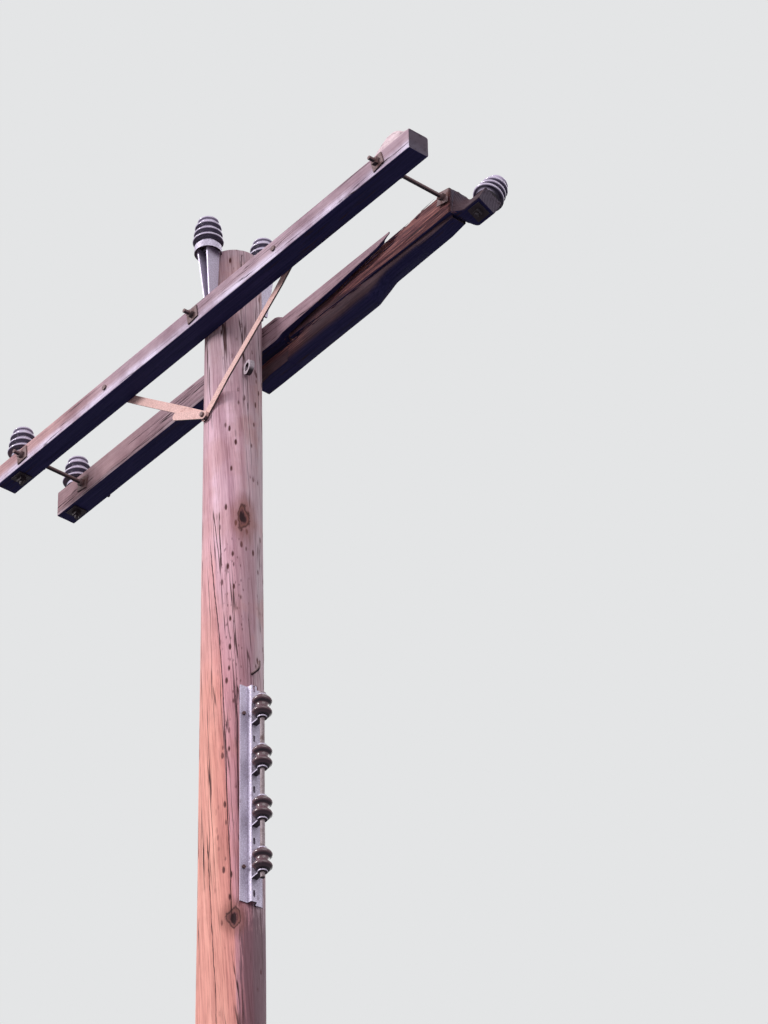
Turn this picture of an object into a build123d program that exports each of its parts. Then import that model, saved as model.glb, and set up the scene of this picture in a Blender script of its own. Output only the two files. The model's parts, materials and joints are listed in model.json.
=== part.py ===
from build123d import *
import math
import os

os.makedirs("parts", exist_ok=True)

# Wooden utility pole with a double crossarm, pole-top brackets and a
# four-spool rack. Millimetres, +Z up, the origin at the centre of the
# pole's foot on the ground, +X along the crossarms.

# Pole
pole_height = 11700
pole_top_diameter = 208
pole_foot_diameter = 299
pole_top_bevel = 6
arm_centre_drop = 322
gain_depth = 8
gain_margin = 3
seat_clearance = 0.3

# Crossarms
arm_length = 2438
near_arm_width = 89
near_arm_depth = 89
near_arm_top_bevel = 12
far_arm_width = 82
far_arm_depth = 114
stud_hole_diameter = 17.5
near_stud_from_arm_end = 100
far_stud_from_arm_end = 70
arm_bolt_from_end = 166

# Lengthwise split of the far arm, right of the pole
sliver_root_from_pole = 40
sliver_length = 626
sliver_thickness = 27
sliver_top_drop = 27
sliver_root_depth = 75
sliver_tip_depth = 30
split_gap = 2
rear_half_start = 165
rear_half_top_drop = 37
rear_end_top_drop = 22
rear_end_depth = 115
rear_end_side = 15
rear_end_past_bolt = 32
under_strip_past_axis = 40
under_strip_drop = 75
under_strip_width = 72
under_strip_depth = 88
under_strip_middle = 600
under_strip_step = 700
under_strip_end = 1000
under_strip_middle_depth = 100
under_strip_tail_depth = 60
under_strip_end_depth = 42
twisted_block_length = 82
twisted_block_depth = 76
twisted_block_gap = 34
twisted_block_drop = 68
twisted_block_side = 59
twisted_block_roll = 28

# Through bolts of the arms
bolt_diameter = 16
bolt_clearance = 0.75
washer_size = 57
washer_thickness = 5
nut_across_flats = 25
nut_height = 14
bolt_stick_out = 42

# Flat braces of the near arm
brace_width = 32
brace_thickness = 6
brace_end_margin = 22
right_brace_reach = 469
left_brace_reach = 535
brace_foot_side = 17
brace_pole_drop = 420
brace_bolt_diameter = 10
brace_bolt_clearance = 0.5
brace_screw_depth = 68
brace_stub_length = 225
brace_stub_angle = 30

# Post insulators
insulator_radius = 58
shed_taper = 4
insulator_core_radius = 35
insulator_height = 130
shed_pitch = 32
shed_count = 3
first_shed_height = 28
shed_rim = 13
shed_rim_step = 4
shed_drop = 6
insulator_base_radius = 42
insulator_base_height = 14
head_radius = 40
head_groove_radius = 33
head_shoulder = 6
head_rim = 7
head_height = 16
stud_diameter = 16
stud_tail = 34

# Pole-top brackets
bracket_length = 236
bracket_top_width = 52
bracket_foot_width = 30
bracket_top_depth = 70
bracket_foot_depth = 42
bracket_steel = 6
bracket_cap_diameter = 102
bracket_cap_depth = 28
near_bracket_rise = 3
far_bracket_rise = 63
near_bracket_turn = -79.5
far_bracket_turn = 90
bracket_screw_drop = 130
bracket_screw_pitch = 70
bracket_screw_length = 80

# Rack and its spools
rack_top_drop = 1954
rack_length = 857
rack_turn = -5.1
rack_width = 88
rack_steel = 4
rack_depth = 22
rib_width = 22
rib_foot_width = 31
rack_slot_width = 8
rack_slot_length = 26
rack_screw_side = 31
rack_screw_diameter = 10
rack_screw_length = 80
first_spool_drop = 115
last_spool_rise = 132.4
spool_count = 4
spool_diameter = 70
spool_end_diameter = 46
spool_height = 76
spool_flange_spread = 50
spool_groove_radius = 22
spool_groove_half_height = 8
rod_diameter = 16
spool_running_clearance = 0.08
rack_reach = 50
ear_width = 34
ear_thickness = 5
ear_gap = 3
rod_tail = 20

# Guy eye bolt and the drive hook
eye_bolt_drop = 250
eye_bolt_turn = -13
eye_inside_diameter = 32
eye_ring_thickness = 12
eye_bar_thickness = 18
hook_drop = 1563
hook_bar_diameter = 10
hook_reach = 38
hook_lift = 30
hook_bend = 12
hook_shank_length = 70


def pole_radius(height):
    taper = (pole_foot_diameter - pole_top_diameter) / pole_height
    return (pole_foot_diameter - taper * height) / 2


arm_centre_height = pole_height - arm_centre_drop
arm_seat = pole_radius(arm_centre_height) - gain_depth
near_inner = -arm_seat
near_outer = near_inner - near_arm_width
far_inner = arm_seat
far_outer = far_inner + far_arm_width
near_centre = (near_inner + near_outer) / 2
far_centre = (far_inner + far_outer) / 2
near_arm_top = arm_centre_height + near_arm_depth / 2
far_arm_top = arm_centre_height + far_arm_depth / 2
arm_bolt_place = arm_length / 2 - arm_bolt_from_end
near_stud_place = arm_length / 2 - near_stud_from_arm_end
far_stud_place = arm_length / 2 - far_stud_from_arm_end
bolt_hole = bolt_diameter + 2 * bolt_clearance
brace_hole = brace_bolt_diameter + 2 * brace_bolt_clearance
brace_pole_height = arm_centre_height - brace_pole_drop
lag_seat = pole_radius(brace_pole_height) + seat_clearance
eye_bolt_height = arm_centre_height - eye_bolt_drop
hook_height = arm_centre_height - hook_drop

rack_top_height = pole_height - rack_top_drop
rack_bottom_height = rack_top_height - rack_length
rack_seat = pole_radius(rack_bottom_height) + seat_clearance
rack_face = rack_seat + rack_depth
rod_place = rack_face + rack_reach
rack_screw_hole = rack_screw_diameter + 2 * brace_bolt_clearance
spool_bore = rod_diameter + 2 * spool_running_clearance
spool_pitch = (rack_length - first_spool_drop - last_spool_rise) / (spool_count - 1)
spool_heights = [
    rack_top_height - first_spool_drop - i * spool_pitch for i in range(spool_count)
]
slot_heights = [
    rack_top_height - first_spool_drop - (i - 0.5) * spool_pitch for i in range(spool_count + 1)
]
rack_screws = [
    (side * rack_screw_side, height)
    for side in (-1, 1)
    for height in (spool_heights[0], spool_heights[-1])
]
near_bracket_height = pole_height + near_bracket_rise
far_bracket_height = pole_height + far_bracket_rise
near_bracket_seat = pole_radius(near_bracket_height - bracket_length) + seat_clearance
far_bracket_seat = pole_radius(far_bracket_height - bracket_length) + seat_clearance
bracket_stud_reach = bracket_top_depth / 2
near_screw_heights = [
    near_bracket_height - bracket_screw_drop - i * bracket_screw_pitch for i in range(2)
]
far_screw_heights = [
    far_bracket_height - bracket_screw_drop - i * bracket_screw_pitch for i in range(2)
]


def facing(direction):
    angle = math.radians(direction)
    return Plane(
        origin=(0, 0, 0),
        x_dir=(-math.sin(angle), math.cos(angle), 0),
        z_dir=(math.cos(angle), math.sin(angle), 0),
    )


def standing(direction, reach, height):
    angle = math.radians(direction)
    place = (reach * math.cos(angle), reach * math.sin(angle), height)
    return Location(place, (0, 0, direction))


near_bracket_front = facing(near_bracket_turn)
far_bracket_front = facing(far_bracket_turn)
near_bracket_stud = standing(
    near_bracket_turn, near_bracket_seat + bracket_stud_reach, near_bracket_height
)
far_bracket_stud = standing(
    far_bracket_turn, far_bracket_seat + bracket_stud_reach, far_bracket_height
)
rack_front = facing(rack_turn)
eye_bolt_front = facing(eye_bolt_turn)
turn = math.radians(rack_turn)
rack_plan = Plane(origin=(0, 0, 0), x_dir=(math.cos(turn), math.sin(turn), 0), z_dir=(0, 0, 1))

# Pole: a tapered log, flat gains cut for the two arms, holes drilled for the hardware
with BuildPart() as pole:
    with BuildSketch(Plane.XY):
        Circle(pole_foot_diameter / 2)
    with BuildSketch(Plane.XY.offset(pole_height)):
        Circle(pole_top_diameter / 2)
    loft(ruled=True)
    chamfer(pole.edges().group_by(Axis.Z)[-1], pole_top_bevel)
    gain_height = max(near_arm_depth, far_arm_depth) + 2 * gain_margin
    with BuildSketch(Plane.YZ.offset(-pole_foot_diameter / 2)):
        with Locations(
            (near_inner - pole_foot_diameter / 2, arm_centre_height),
            (far_inner + pole_foot_diameter / 2, arm_centre_height),
        ):
            Rectangle(pole_foot_diameter, gain_height)
    extrude(amount=pole_foot_diameter, mode=Mode.SUBTRACT)
    with BuildSketch(Plane.XZ.offset(-pole_foot_diameter)):
        with Locations((0, arm_centre_height)):
            Circle(bolt_hole / 2)
    extrude(amount=2 * pole_foot_diameter, mode=Mode.SUBTRACT)
    with BuildSketch(eye_bolt_front.offset(-pole_foot_diameter)):
        with Locations((0, eye_bolt_height)):
            Circle(bolt_hole / 2)
    extrude(amount=2 * pole_foot_diameter, mode=Mode.SUBTRACT)
    with BuildSketch(Plane.XZ.offset(lag_seat)):
        with Locations((-brace_foot_side, brace_pole_height)):
            Circle(brace_hole / 2)
    extrude(amount=-brace_screw_depth - seat_clearance, mode=Mode.SUBTRACT)
    with BuildSketch(Plane.YZ.offset(pole_radius(hook_height) - hook_shank_length)):
        with Locations((0, hook_height)):
            Circle(hook_bar_diameter / 2 + brace_bolt_clearance)
    extrude(amount=hook_shank_length + hook_reach, mode=Mode.SUBTRACT)
    with BuildSketch(rack_front.offset(rack_seat)):
        with Locations(rack_screws):
            Circle(rack_screw_hole / 2)
    extrude(amount=-rack_screw_length, mode=Mode.SUBTRACT)
    for plan, seat, heights in (
        (near_bracket_front, near_bracket_seat, near_screw_heights),
        (far_bracket_front, far_bracket_seat, far_screw_heights),
    ):
        with BuildSketch(plan.offset(seat)):
            with Locations([(0, height) for height in heights]):
                Circle(rack_screw_hole / 2)
        extrude(amount=-bracket_screw_length, mode=Mode.SUBTRACT)
pole.part.label = "pole"
export_step(pole.part, "parts/pole.step")

# Near crossarm: sawn timber with bevelled top corners, drilled for bolts and studs
with BuildPart() as near_crossarm:
    with BuildSketch(Plane.YZ.offset(-arm_length / 2)) as near_section:
        with Locations((near_centre, arm_centre_height)):
            Rectangle(near_arm_width, near_arm_depth)
        chamfer(near_section.vertices().group_by(Axis.Z)[-1], near_arm_top_bevel)
    extrude(amount=arm_length)
    with BuildSketch(Plane.XZ.offset(-near_inner)):
        with Locations(
            (0, arm_centre_height),
            (-arm_bolt_place, arm_centre_height),
            (arm_bolt_place, arm_centre_height),
        ):
            Circle(bolt_hole / 2)
        with Locations(
            (-left_brace_reach, arm_centre_height),
            (right_brace_reach, arm_centre_height),
        ):
            Circle(brace_hole / 2)
    extrude(amount=near_arm_width, mode=Mode.SUBTRACT)
    with BuildSketch(Plane.XY.offset(arm_centre_height - near_arm_depth)):
        with Locations((-near_stud_place, near_centre), (near_stud_place, near_centre)):
            Circle(stud_hole_diameter / 2)
    extrude(amount=2 * near_arm_depth, mode=Mode.SUBTRACT)
near_crossarm.part.label = "near_crossarm"
export_step(near_crossarm.part, "parts/near_crossarm.step")

# Far crossarm: whole from its left end to the pole, then a tapering front sliver
with BuildPart() as far_crossarm:
    sliver_root = pole_radius(arm_centre_height) + sliver_root_from_pole
    sliver_end = sliver_root + sliver_length
    sliver_top = far_arm_top - sliver_top_drop
    with BuildSketch(Plane.YZ.offset(-arm_length / 2)):
        with Locations((far_centre, arm_centre_height)):
            Rectangle(far_arm_width, far_arm_depth)
    extrude(amount=arm_length / 2 + sliver_root)
    with BuildSketch(Plane.YZ.offset(sliver_root)):
        with Locations((far_inner, sliver_top)):
            Rectangle(sliver_thickness, sliver_root_depth, align=(Align.MIN, Align.MAX))
    with BuildSketch(Plane.YZ.offset(sliver_end)):
        with Locations((far_inner, sliver_top)):
            Rectangle(sliver_thickness / 2, sliver_tip_depth, align=(Align.MIN, Align.MAX))
    loft(ruled=True)
    with BuildSketch(Plane.XZ.offset(-far_outer)):
        with Locations((0, arm_centre_height), (-arm_bolt_place, arm_centre_height)):
            Circle(bolt_hole / 2)
    extrude(amount=far_arm_width, mode=Mode.SUBTRACT)
    with BuildSketch(Plane.XY.offset(arm_centre_height - far_arm_depth)):
        with Locations((-far_stud_place, far_centre)):
            Circle(stud_hole_diameter / 2)
    extrude(amount=2 * far_arm_depth, mode=Mode.SUBTRACT)
far_crossarm.part.label = "far_crossarm"
export_step(far_crossarm.part, "parts/far_crossarm.step")

# Split right half of the far crossarm: the rear half from the crack to the arm bolt,
# a strip hanging under it towards the pole, and the cracked end block that rolled back
with BuildPart() as split_crossarm:
    rear_front = far_inner + sliver_thickness + split_gap
    rear_bottom = arm_centre_height - far_arm_depth / 2
    split_front = far_inner + rear_end_side
    split_back = split_front + far_arm_width
    rear_end = arm_bolt_place + rear_end_past_bolt
    with BuildSketch(Plane.YZ.offset(rear_half_start)):
        with Locations((rear_front, rear_bottom)):
            Rectangle(
                far_outer - rear_front, far_arm_depth - rear_half_top_drop, align=Align.MIN
            )
    with BuildSketch(Plane.YZ.offset(rear_end)) as rear_end_face:
        with Locations((split_front, far_arm_top - rear_end_top_drop)):
            Rectangle(far_arm_width, rear_end_depth, align=(Align.MIN, Align.MAX))
    loft(ruled=True)
    with BuildSketch(Plane.YZ.offset(rear_end)):
        with Locations((split_front, far_arm_top - rear_end_top_drop)):
            Rectangle(far_arm_width, rear_end_depth, align=(Align.MIN, Align.MAX))
    with BuildSketch(Plane.YZ.offset(rear_end + twisted_block_gap)):
        with Locations(
            (far_centre + twisted_block_side, arm_centre_height - twisted_block_drop)
        ):
            Rectangle(far_arm_width, twisted_block_depth, rotation=-twisted_block_roll)
    loft(ruled=True)
    with BuildSketch(Plane.YZ.offset(rear_end + twisted_block_gap)):
        with Locations(
            (far_centre + twisted_block_side, arm_centre_height - twisted_block_drop)
        ):
            Rectangle(far_arm_width, twisted_block_depth, rotation=-twisted_block_roll)
    extrude(amount=twisted_block_length)
    with BuildSketch(Plane.YZ.offset(-under_strip_past_axis)):
        with Locations((rear_front, arm_centre_height - under_strip_drop)):
            Rectangle(under_strip_width, under_strip_depth, align=(Align.MIN, Align.MAX))
    with BuildSketch(Plane.YZ.offset(under_strip_middle)):
        with Locations((rear_front, rear_bottom + sliver_thickness / 4)):
            Rectangle(
                under_strip_width, under_strip_middle_depth, align=(Align.MIN, Align.MAX)
            )
    with BuildSketch(Plane.YZ.offset(under_strip_step)):
        with Locations((rear_front, rear_bottom + sliver_thickness / 4)):
            Rectangle(
                under_strip_width, under_strip_tail_depth, align=(Align.MIN, Align.MAX)
            )
    with BuildSketch(Plane.YZ.offset(under_strip_end)):
        with Locations((rear_front, rear_bottom - split_gap)):
            Rectangle(
                under_strip_width, under_strip_end_depth, align=(Align.MIN, Align.MAX)
            )
    loft(ruled=True)
    with BuildSketch(Plane.XZ.offset(-split_front)):
        with Locations((arm_bolt_place, arm_centre_height)):
            Circle(bolt_hole / 2)
    extrude(amount=-far_arm_width, mode=Mode.SUBTRACT)
    roll = math.radians(twisted_block_roll)
    block_up = (0, math.sin(roll), math.cos(roll))
    tipped_plane = Plane(
        origin=(
            rear_end + twisted_block_gap + twisted_block_length / 2,
            far_centre + twisted_block_side + block_up[1] * twisted_block_depth / 2,
            arm_centre_height - twisted_block_drop + block_up[2] * twisted_block_depth / 2,
        ),
        x_dir=(1, 0, 0),
        z_dir=block_up,
    )
    with BuildSketch(tipped_plane):
        Circle(stud_hole_diameter / 2)
    extrude(amount=-twisted_block_depth, mode=Mode.SUBTRACT)
split_crossarm.part.label = "split_crossarm"
export_step(split_crossarm.part, "parts/split_crossarm.step")

# Double-arming bolt at the left: one rod through both arms, washer and nut on each face
with BuildPart() as left_arm_bolt:
    rod_start = near_outer - bolt_stick_out
    rod_end = far_outer + bolt_stick_out
    with BuildSketch(Plane.XZ.offset(-rod_start)):
        with Locations((-arm_bolt_place, arm_centre_height)):
            Circle(bolt_diameter / 2)
    extrude(amount=rod_start - rod_end)
    for face, side in ((near_outer, -1), (near_inner, 1), (far_inner, -1), (far_outer, 1)):
        with BuildSketch(Plane.XZ.offset(-face)):
            with Locations((-arm_bolt_place, arm_centre_height)):
                Rectangle(washer_size, washer_size)
        extrude(amount=-side * washer_thickness)
        with BuildSketch(Plane.XZ.offset(-face - side * washer_thickness)):
            with Locations((-arm_bolt_place, arm_centre_height)):
                Rectangle(nut_across_flats, nut_across_flats)
        extrude(amount=-side * nut_height)
left_arm_bolt.part.label = "left_arm_bolt"
export_step(left_arm_bolt.part, "parts/left_arm_bolt.step")

# Double-arming bolt at the right, through the near arm and the split half
with BuildPart() as right_arm_bolt:
    with BuildSketch(Plane.XZ.offset(-rod_start)):
        with Locations((arm_bolt_place, arm_centre_height)):
            Circle(bolt_diameter / 2)
    extrude(amount=rod_start - split_back - bolt_stick_out)
    for face, side in ((near_outer, -1), (near_inner, 1), (split_front, -1), (split_back, 1)):
        with BuildSketch(Plane.XZ.offset(-face)):
            with Locations((arm_bolt_place, arm_centre_height)):
                Rectangle(washer_size, washer_size)
        extrude(amount=-side * washer_thickness)
        with BuildSketch(Plane.XZ.offset(-face - side * washer_thickness)):
            with Locations((arm_bolt_place, arm_centre_height)):
                Rectangle(nut_across_flats, nut_across_flats)
        extrude(amount=-side * nut_height)
right_arm_bolt.part.label = "right_arm_bolt"
export_step(right_arm_bolt.part, "parts/right_arm_bolt.step")

# Centre bolt: clamps both arms against the pole's gains
with BuildPart() as centre_bolt:
    with BuildSketch(Plane.XZ.offset(-rod_start)):
        with Locations((0, arm_centre_height)):
            Circle(bolt_diameter / 2)
    extrude(amount=rod_start - rod_end)
    for face, side in ((near_outer, -1), (far_outer, 1)):
        with BuildSketch(Plane.XZ.offset(-face)):
            with Locations((0, arm_centre_height)):
                Rectangle(washer_size, washer_size)
        extrude(amount=-side * washer_thickness)
        with BuildSketch(Plane.XZ.offset(-face - side * washer_thickness)):
            with Locations((0, arm_centre_height)):
                Rectangle(nut_across_flats, nut_across_flats)
        extrude(amount=-side * nut_height)
centre_bolt.part.label = "centre_bolt"
export_step(centre_bolt.part, "parts/centre_bolt.step")

# Braces: flat straps behind the near arm, joggled outwards to the pole's face
joggle_top = arm_centre_height - near_arm_depth / 2 - brace_width
joggle_bottom = brace_pole_height + brace_width * 3

with BuildPart() as right_brace:
    right_run = right_brace_reach + brace_foot_side
    with BuildSketch(Plane.XZ.offset(lag_seat + brace_thickness * 4)):
        with Locations(
            Location(
                (
                    (right_brace_reach - brace_foot_side) / 2,
                    (arm_centre_height + brace_pole_height) / 2,
                ),
                math.degrees(math.atan2(brace_pole_drop, right_run)),
            )
        ):
            SlotOverall(math.hypot(brace_pole_drop, right_run) + 2 * brace_end_margin, brace_width)
        with Locations(
            (right_brace_reach, arm_centre_height), (-brace_foot_side, brace_pole_height)
        ):
            Circle(brace_hole / 2, mode=Mode.SUBTRACT)
    extrude(amount=-brace_thickness * 10)
    with BuildSketch(Plane.YZ.offset(-brace_foot_side - brace_width)):
        with BuildLine():
            Polyline(
                (near_inner, arm_centre_height + brace_width),
                (near_inner, joggle_top),
                (-lag_seat - brace_thickness, joggle_bottom),
                (-lag_seat - brace_thickness, brace_pole_height - brace_width),
                (-lag_seat, brace_pole_height - brace_width),
                (-lag_seat, joggle_bottom),
                (near_inner + brace_thickness, joggle_top),
                (near_inner + brace_thickness, arm_centre_height + brace_width),
                close=True,
            )
        make_face()
    extrude(amount=right_run + 4 * brace_width, mode=Mode.INTERSECT)
right_brace.part.label = "right_brace"
export_step(right_brace.part, "parts/right_brace.step")

with BuildPart() as left_brace:
    left_seat = lag_seat + brace_thickness
    left_run = left_brace_reach - brace_foot_side
    with BuildSketch(Plane.XZ.offset(left_seat + brace_thickness * 4)):
        with Locations(
            Location(
                (
                    -(left_brace_reach + brace_foot_side) / 2,
                    (arm_centre_height + brace_pole_height) / 2,
                ),
                -math.degrees(math.atan2(brace_pole_drop, left_run)),
            )
        ):
            SlotOverall(math.hypot(brace_pole_drop, left_run) + 2 * brace_end_margin, brace_width)
        with Locations(
            (-left_brace_reach, arm_centre_height), (-brace_foot_side, brace_pole_height)
        ):
            Circle(brace_hole / 2, mode=Mode.SUBTRACT)
    extrude(amount=-brace_thickness * 10)
    with BuildSketch(Plane.YZ.offset(-brace_foot_side + brace_width)):
        with BuildLine():
            Polyline(
                (near_inner, arm_centre_height + brace_width),
                (near_inner, joggle_top),
                (-left_seat - brace_thickness, joggle_bottom),
                (-left_seat - brace_thickness, brace_pole_height - brace_width),
                (-left_seat, brace_pole_height - brace_width),
                (-left_seat, joggle_bottom),
                (near_inner + brace_thickness, joggle_top),
                (near_inner + brace_thickness, arm_centre_height + brace_width),
                close=True,
            )
        make_face()
    extrude(amount=-left_run - 4 * brace_width, mode=Mode.INTERSECT)
left_brace.part.label = "left_brace"
export_step(left_brace.part, "parts/left_brace.step")

# Stub of an older brace, broken off short along the lower edge of the left one
with BuildPart() as brace_stub:
    stub_seat = left_seat + brace_thickness
    stub_centre = brace_stub_length / 2 - brace_end_margin
    stub_turn = math.radians(brace_stub_angle)
    with BuildSketch(Plane.XZ.offset(stub_seat)):
        with Locations(
            Location(
                (
                    -brace_foot_side - stub_centre * math.cos(stub_turn),
                    brace_pole_height + stub_centre * math.sin(stub_turn),
                ),
                -brace_stub_angle,
            )
        ):
            SlotOverall(brace_stub_length, brace_width)
        with Locations((-brace_foot_side, brace_pole_height)):
            Circle(brace_hole / 2, mode=Mode.SUBTRACT)
    extrude(amount=brace_thickness)
brace_stub.part.label = "brace_stub"
export_step(brace_stub.part, "parts/brace_stub.step")

# Lag screw: holds the feet of the braces to the pole
with BuildPart() as brace_lag_screw:
    lag_head_seat = stub_seat + brace_thickness
    with BuildSketch(Plane.XZ.offset(lag_head_seat)):
        with Locations((-brace_foot_side, brace_pole_height)):
            RegularPolygon(brace_bolt_diameter, 6)
    extrude(amount=brace_bolt_diameter * 0.7)
    with BuildSketch(Plane.XZ.offset(lag_head_seat)):
        with Locations((-brace_foot_side, brace_pole_height)):
            Circle(brace_bolt_diameter / 2)
    extrude(amount=lag_seat - lag_head_seat - brace_screw_depth)
brace_lag_screw.part.label = "brace_lag_screw"
export_step(brace_lag_screw.part, "parts/brace_lag_screw.step")

# Carriage bolts: one through the near arm and the upper end of each brace
with BuildPart() as brace_arm_bolts:
    bolt_places = [
        (-left_brace_reach, arm_centre_height),
        (right_brace_reach, arm_centre_height),
    ]
    with BuildSketch(Plane.XZ.offset(-near_outer)):
        with Locations(bolt_places):
            Circle(brace_bolt_diameter / 2)
    extrude(amount=-near_arm_width - brace_thickness - brace_bolt_diameter)
    with BuildSketch(Plane.XZ.offset(-near_outer)):
        with Locations(bolt_places):
            Circle(brace_bolt_diameter * 1.1)
    extrude(amount=brace_bolt_diameter / 2)
    with BuildSketch(Plane.XZ.offset(-near_inner - brace_thickness)):
        with Locations(bolt_places):
            RegularPolygon(brace_bolt_diameter, 6)
    extrude(amount=-brace_bolt_diameter * 0.7)
brace_arm_bolts.part.label = "brace_arm_bolts"
export_step(brace_arm_bolts.part, "parts/brace_arm_bolts.step")

# Porcelain body of a post insulator, standing on the origin: core, sheds and head
with BuildPart() as porcelain:
    head_foot = first_shed_height + (shed_count - 1) * shed_pitch + shed_drop
    with BuildSketch(Plane.XZ):
        with BuildLine():
            Polyline(
                (0, insulator_base_height),
                (insulator_core_radius, insulator_base_height),
                (insulator_core_radius, head_foot),
                (head_groove_radius, head_foot + head_shoulder),
                (head_groove_radius, insulator_height - head_height),
                (head_radius, insulator_height - head_height + head_shoulder),
                (head_radius, insulator_height - head_rim),
                (head_groove_radius, insulator_height),
                (0, insulator_height),
                close=True,
            )
        make_face()
    revolve(axis=Axis.Z)
    for i in range(shed_count):
        rim = first_shed_height + i * shed_pitch
        shed_radius = insulator_radius - i * shed_taper
        with BuildSketch(Plane.XZ):
            with BuildLine():
                Polyline(
                    (insulator_core_radius - seat_clearance, rim),
                    (shed_radius - shed_rim_step, rim - shed_rim / 2),
                    (shed_radius, rim),
                    (shed_radius - shed_rim_step, rim + shed_rim / 2),
                    (insulator_core_radius - seat_clearance, rim + shed_rim / 2 + shed_drop),
                    close=True,
                )
            make_face()
        revolve(axis=Axis.Z)

# Galvanised foot of a post insulator with its stud going down through a timber
with BuildPart() as insulator_foot:
    with BuildSketch(Plane.XY):
        Circle(insulator_base_radius)
    extrude(amount=insulator_base_height, taper=8)

near_arm_stud_place = (-near_stud_place, near_centre, near_arm_top)
far_arm_stud_place = (-far_stud_place, far_centre, far_arm_top)

with BuildPart() as near_left_insulator:
    with Locations(near_arm_stud_place):
        add(porcelain.part)
near_left_insulator.part.label = "near_left_insulator"
export_step(near_left_insulator.part, "parts/near_left_insulator.step")

with BuildPart() as far_left_insulator:
    with Locations(far_arm_stud_place):
        add(porcelain.part)
far_left_insulator.part.label = "far_left_insulator"
export_step(far_left_insulator.part, "parts/far_left_insulator.step")

with BuildPart() as near_left_stud:
    with Locations(near_arm_stud_place):
        add(insulator_foot.part)
    with BuildSketch(Plane.XY.offset(near_arm_top)):
        with Locations((-near_stud_place, near_centre)):
            Circle(stud_diameter / 2)
    extrude(amount=-near_arm_depth - stud_tail)
    with BuildSketch(Plane.XY.offset(near_arm_top - near_arm_depth)):
        with Locations((-near_stud_place, near_centre)):
            Rectangle(washer_size, washer_size)
    extrude(amount=-washer_thickness)
    with BuildSketch(Plane.XY.offset(near_arm_top - near_arm_depth - washer_thickness)):
        with Locations((-near_stud_place, near_centre)):
            Rectangle(nut_across_flats, nut_across_flats)
    extrude(amount=-nut_height)
near_left_stud.part.label = "near_left_stud"
export_step(near_left_stud.part, "parts/near_left_stud.step")

with BuildPart() as far_left_stud:
    with Locations(far_arm_stud_place):
        add(insulator_foot.part)
    with BuildSketch(Plane.XY.offset(far_arm_top)):
        with Locations((-far_stud_place, far_centre)):
            Circle(stud_diameter / 2)
    extrude(amount=-far_arm_depth - stud_tail)
    with BuildSketch(Plane.XY.offset(far_arm_top - far_arm_depth)):
        with Locations((-far_stud_place, far_centre)):
            Rectangle(washer_size, washer_size)
    extrude(amount=-washer_thickness)
    with BuildSketch(Plane.XY.offset(far_arm_top - far_arm_depth - washer_thickness)):
        with Locations((-far_stud_place, far_centre)):
            Rectangle(nut_across_flats, nut_across_flats)
    extrude(amount=-nut_height)
far_left_stud.part.label = "far_left_stud"
export_step(far_left_stud.part, "parts/far_left_stud.step")

# Pole-top bracket in its own frame, +X away from the pole, the origin at its stud:
# a pressed channel that narrows downwards under a capped seat
with BuildPart() as top_bracket:
    with BuildSketch(Plane.XY):
        with Locations((-bracket_stud_reach, 0)):
            Rectangle(bracket_top_depth, bracket_top_width, align=(Align.MIN, Align.CENTER))
    with BuildSketch(Plane.XY.offset(-bracket_length)):
        with Locations((-bracket_stud_reach, 0)):
            Rectangle(bracket_foot_depth, bracket_foot_width, align=(Align.MIN, Align.CENTER))
    loft(ruled=True)
    with BuildSketch(Plane.XY):
        with Locations((bracket_steel - bracket_stud_reach, 0)):
            Rectangle(
                bracket_top_depth,
                bracket_top_width - 2 * bracket_steel,
                align=(Align.MIN, Align.CENTER),
            )
    with BuildSketch(Plane.XY.offset(-bracket_length)):
        with Locations((bracket_steel - bracket_stud_reach, 0)):
            Rectangle(
                bracket_foot_depth,
                bracket_foot_width - 2 * bracket_steel,
                align=(Align.MIN, Align.CENTER),
            )
    loft(ruled=True, mode=Mode.SUBTRACT)
    with BuildSketch(Plane.XY) as cap:
        Circle(bracket_cap_diameter / 2)
        with Locations((-bracket_stud_reach, 0)):
            Rectangle(
                2 * bracket_cap_diameter,
                2 * bracket_cap_diameter,
                align=(Align.MIN, Align.CENTER),
                mode=Mode.INTERSECT,
            )
    extrude(amount=-bracket_steel)
    with BuildSketch(Plane.XY):
        add(cap.sketch)
        Circle(bracket_cap_diameter / 2 - bracket_steel, mode=Mode.SUBTRACT)
    extrude(amount=-bracket_cap_depth)
    with BuildSketch(Plane.XY):
        Circle(stud_hole_diameter / 2)
    extrude(amount=-bracket_steel, mode=Mode.SUBTRACT)
    with BuildSketch(Plane.YZ.offset(-bracket_stud_reach)):
        with Locations((0, -bracket_screw_drop), (0, -bracket_screw_drop - bracket_screw_pitch)):
            Circle(rack_screw_hole / 2)
    extrude(amount=bracket_steel, mode=Mode.SUBTRACT)

with BuildPart() as near_top_bracket:
    with Locations(near_bracket_stud):
        add(top_bracket.part)
near_top_bracket.part.label = "near_top_bracket"
export_step(near_top_bracket.part, "parts/near_top_bracket.step")

with BuildPart() as far_top_bracket:
    with Locations(far_bracket_stud):
        add(top_bracket.part)
far_top_bracket.part.label = "far_top_bracket"
export_step(far_top_bracket.part, "parts/far_top_bracket.step")

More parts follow.
